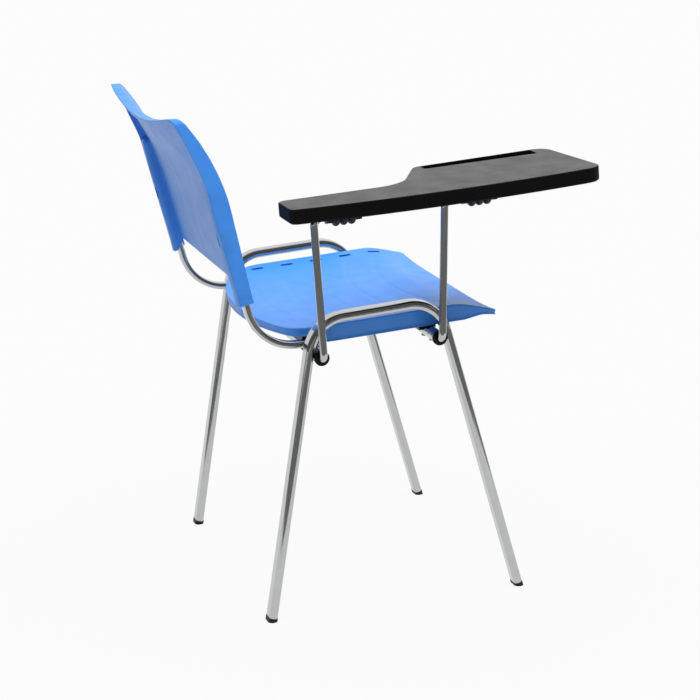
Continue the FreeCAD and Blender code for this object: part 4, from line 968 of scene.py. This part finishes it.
def studio_floor():
    """A pale floor that keeps a soft shadow, near white to the eye and to mirrors."""
    material, tree = blank_material("white_painted_floor")
    rays = add(tree, "ShaderNodeLightPath", {})
    paint = add(tree, "ShaderNodeBsdfDiffuse", {"Color": linear("#B8B8B8")})
    white = add(tree, "ShaderNodeEmission", {"Color": linear("#FFFFFF"), "Strength": 1.0})
    seen = add(
        tree,
        "ShaderNodeMath",
        {0: rays.outputs["Is Camera Ray"], 1: rays.outputs["Is Glossy Ray"]},
        operation="MAXIMUM",
    )
    share = add(tree, "ShaderNodeMath", {0: seen.outputs["Value"], 1: FLOOR_WHITE}, operation="MULTIPLY")
    mixed = add(
        tree,
        "ShaderNodeMixShader",
        {"Fac": share.outputs["Value"], 1: paint.outputs["BSDF"], 2: white.outputs["Emission"]},
    )
    add(tree, "ShaderNodeOutputMaterial", {"Surface": mixed.outputs["Shader"]})
    corners = [(x * FLOOR_REACH, y * FLOOR_REACH, 0) for x, y in ((-1, -1), (1, -1), (1, 1), (-1, 1))]
    studio_card("studio_floor", corners, [(0, 1, 2, 3)], material)


def dim_floor():
    """The studio's dark floor on the camera's side, from just past the chair and round to both sides. Only
    mirrors show it: it gives the chrome its dark streaks."""
    material, tree = blank_material("dim_studio_end")
    dim = add(tree, "ShaderNodeEmission", {"Color": linear("#808080"), "Strength": 1.0})
    add(tree, "ShaderNodeOutputMaterial", {"Surface": dim.outputs["Emission"]})
    inner, outer = [], []
    for step in range(DIM_STEPS + 1):
        turn = math.radians(-DIM_SPREAD + 2 * DIM_SPREAD * step / DIM_STEPS)
        start = DIM_NEAR / math.cos(turn) if math.cos(turn) > DIM_NEAR / DIM_BESIDE else DIM_BESIDE
        way = Vector((math.cos(DIM_WAY + turn), math.sin(DIM_WAY + turn), 0.0))
        inner.append(at(way * start + Vector((0.0, 0.0, DIM_HEIGHT))))
        outer.append(at(way * DIM_FAR + Vector((0.0, 0.0, DIM_HEIGHT))))
    count = len(inner)
    faces = [(i, i + 1, count + i + 1, count + i) for i in range(DIM_STEPS)]
    hidden_from = ("camera", "diffuse", "transmission", "volume_scatter", "shadow")
    studio_card("dim_floor", inner + outer, faces, material, hidden_from)


def flag():
    """A black card held outside the tablet that keeps the lamp off the seat's near skirt."""
    material, tree = blank_material("black_studio_cloth")
    cloth = add(tree, "ShaderNodeBsdfDiffuse", {"Color": linear("#101010")})
    add(tree, "ShaderNodeOutputMaterial", {"Surface": cloth.outputs["BSDF"]})
    corners = [at((FLAG_X[i], FLAG_Y[j], FLAG_Z)) for i, j in ((0, 0), (1, 0), (1, 1), (0, 1))]
    studio_card("flag", corners, [(0, 1, 2, 3)], material, ("camera", "glossy", "transmission"))


def room_light():
    """White surroundings for the eye, a room for mirrors that is white on the far side and dim overhead and
    behind the camera, and a plain soft light on the chair."""
    world = bpy.data.worlds.new("studio")
    world.use_nodes = True
    tree = world.node_tree
    tree.nodes.clear()
    rays = add(tree, "ShaderNodeLightPath", {})
    way = add(tree, "ShaderNodeTexCoord", {}).outputs["Generated"]
    far_side = add(tree, "ShaderNodeVectorMath", {0: way, 1: WHITE_SIDE}, operation="DOT_PRODUCT")
    mirrored = add(
        tree,
        "ShaderNodeMapRange",
        {
            "Value": far_side.outputs["Value"],
            "From Min": 0.25,
            "From Max": 0.6,
            "To Min": 0.12,
            "To Max": 1.0,
        },
    )
    lit = add(
        tree,
        "ShaderNodeMapRange",
        {"Value": rays.outputs["Is Glossy Ray"], "To Min": 0.23, "To Max": mirrored.outputs["Result"]},
    )
    shown = add(
        tree,
        "ShaderNodeMath",
        {0: rays.outputs["Is Camera Ray"], 1: rays.outputs["Is Transmission Ray"]},
        operation="MAXIMUM",
    )
    strength = add(
        tree,
        "ShaderNodeMapRange",
        {"Value": shown.outputs["Value"], "To Min": lit.outputs["Result"], "To Max": 1.0},
    )
    light = add(
        tree, "ShaderNodeBackground", {"Color": linear("#FFFFFF"), "Strength": strength.outputs["Result"]}
    )
    add(tree, "ShaderNodeOutputWorld", {"Surface": light.outputs["Background"]})
    bpy.context.scene.world = world


def soft_sun(name, towards, strength, spread):
    """A wide soft lamp that shines the same way everywhere and isn't mirrored."""
    lamp = bpy.data.lights.new(name, "SUN")
    lamp.energy = strength
    lamp.angle = math.radians(spread)
    holder = put_in_scene(name, lamp)
    holder.rotation_mode = "QUATERNION"
    holder.rotation_quaternion = Vector(towards).to_track_quat("-Z", "Y")
    holder.visible_glossy = False


def camera():
    """The photograph's viewpoint."""
    yaw, pitch, roll = (math.radians(angle) for angle in CAMERA_TURN)
    ahead = Vector((math.cos(pitch) * math.cos(yaw), math.cos(pitch) * math.sin(yaw), -math.sin(pitch)))
    level = Vector((math.sin(yaw), -math.cos(yaw), 0))
    down = ahead.cross(level)
    right = math.cos(roll) * level + math.sin(roll) * down
    up = math.sin(roll) * level - math.cos(roll) * down
    turn = Matrix((right, up, -ahead)).transposed()
    lens = bpy.data.cameras.new("camera")
    lens.lens = CAMERA_LENS
    lens.sensor_width = CAMERA_SENSOR
    holder = put_in_scene("camera", lens)
    holder.matrix_world = Matrix.Translation(at(CAMERA_PLACE)) @ turn.to_4x4()
    bpy.context.scene.camera = holder


studio_floor()
dim_floor()
flag()
room_light()
soft_sun("overhead_light", towards=(0.28, 0.12, -0.93), strength=3.5, spread=80)
camera()
bpy.context.scene.view_settings.view_transform = "Standard"
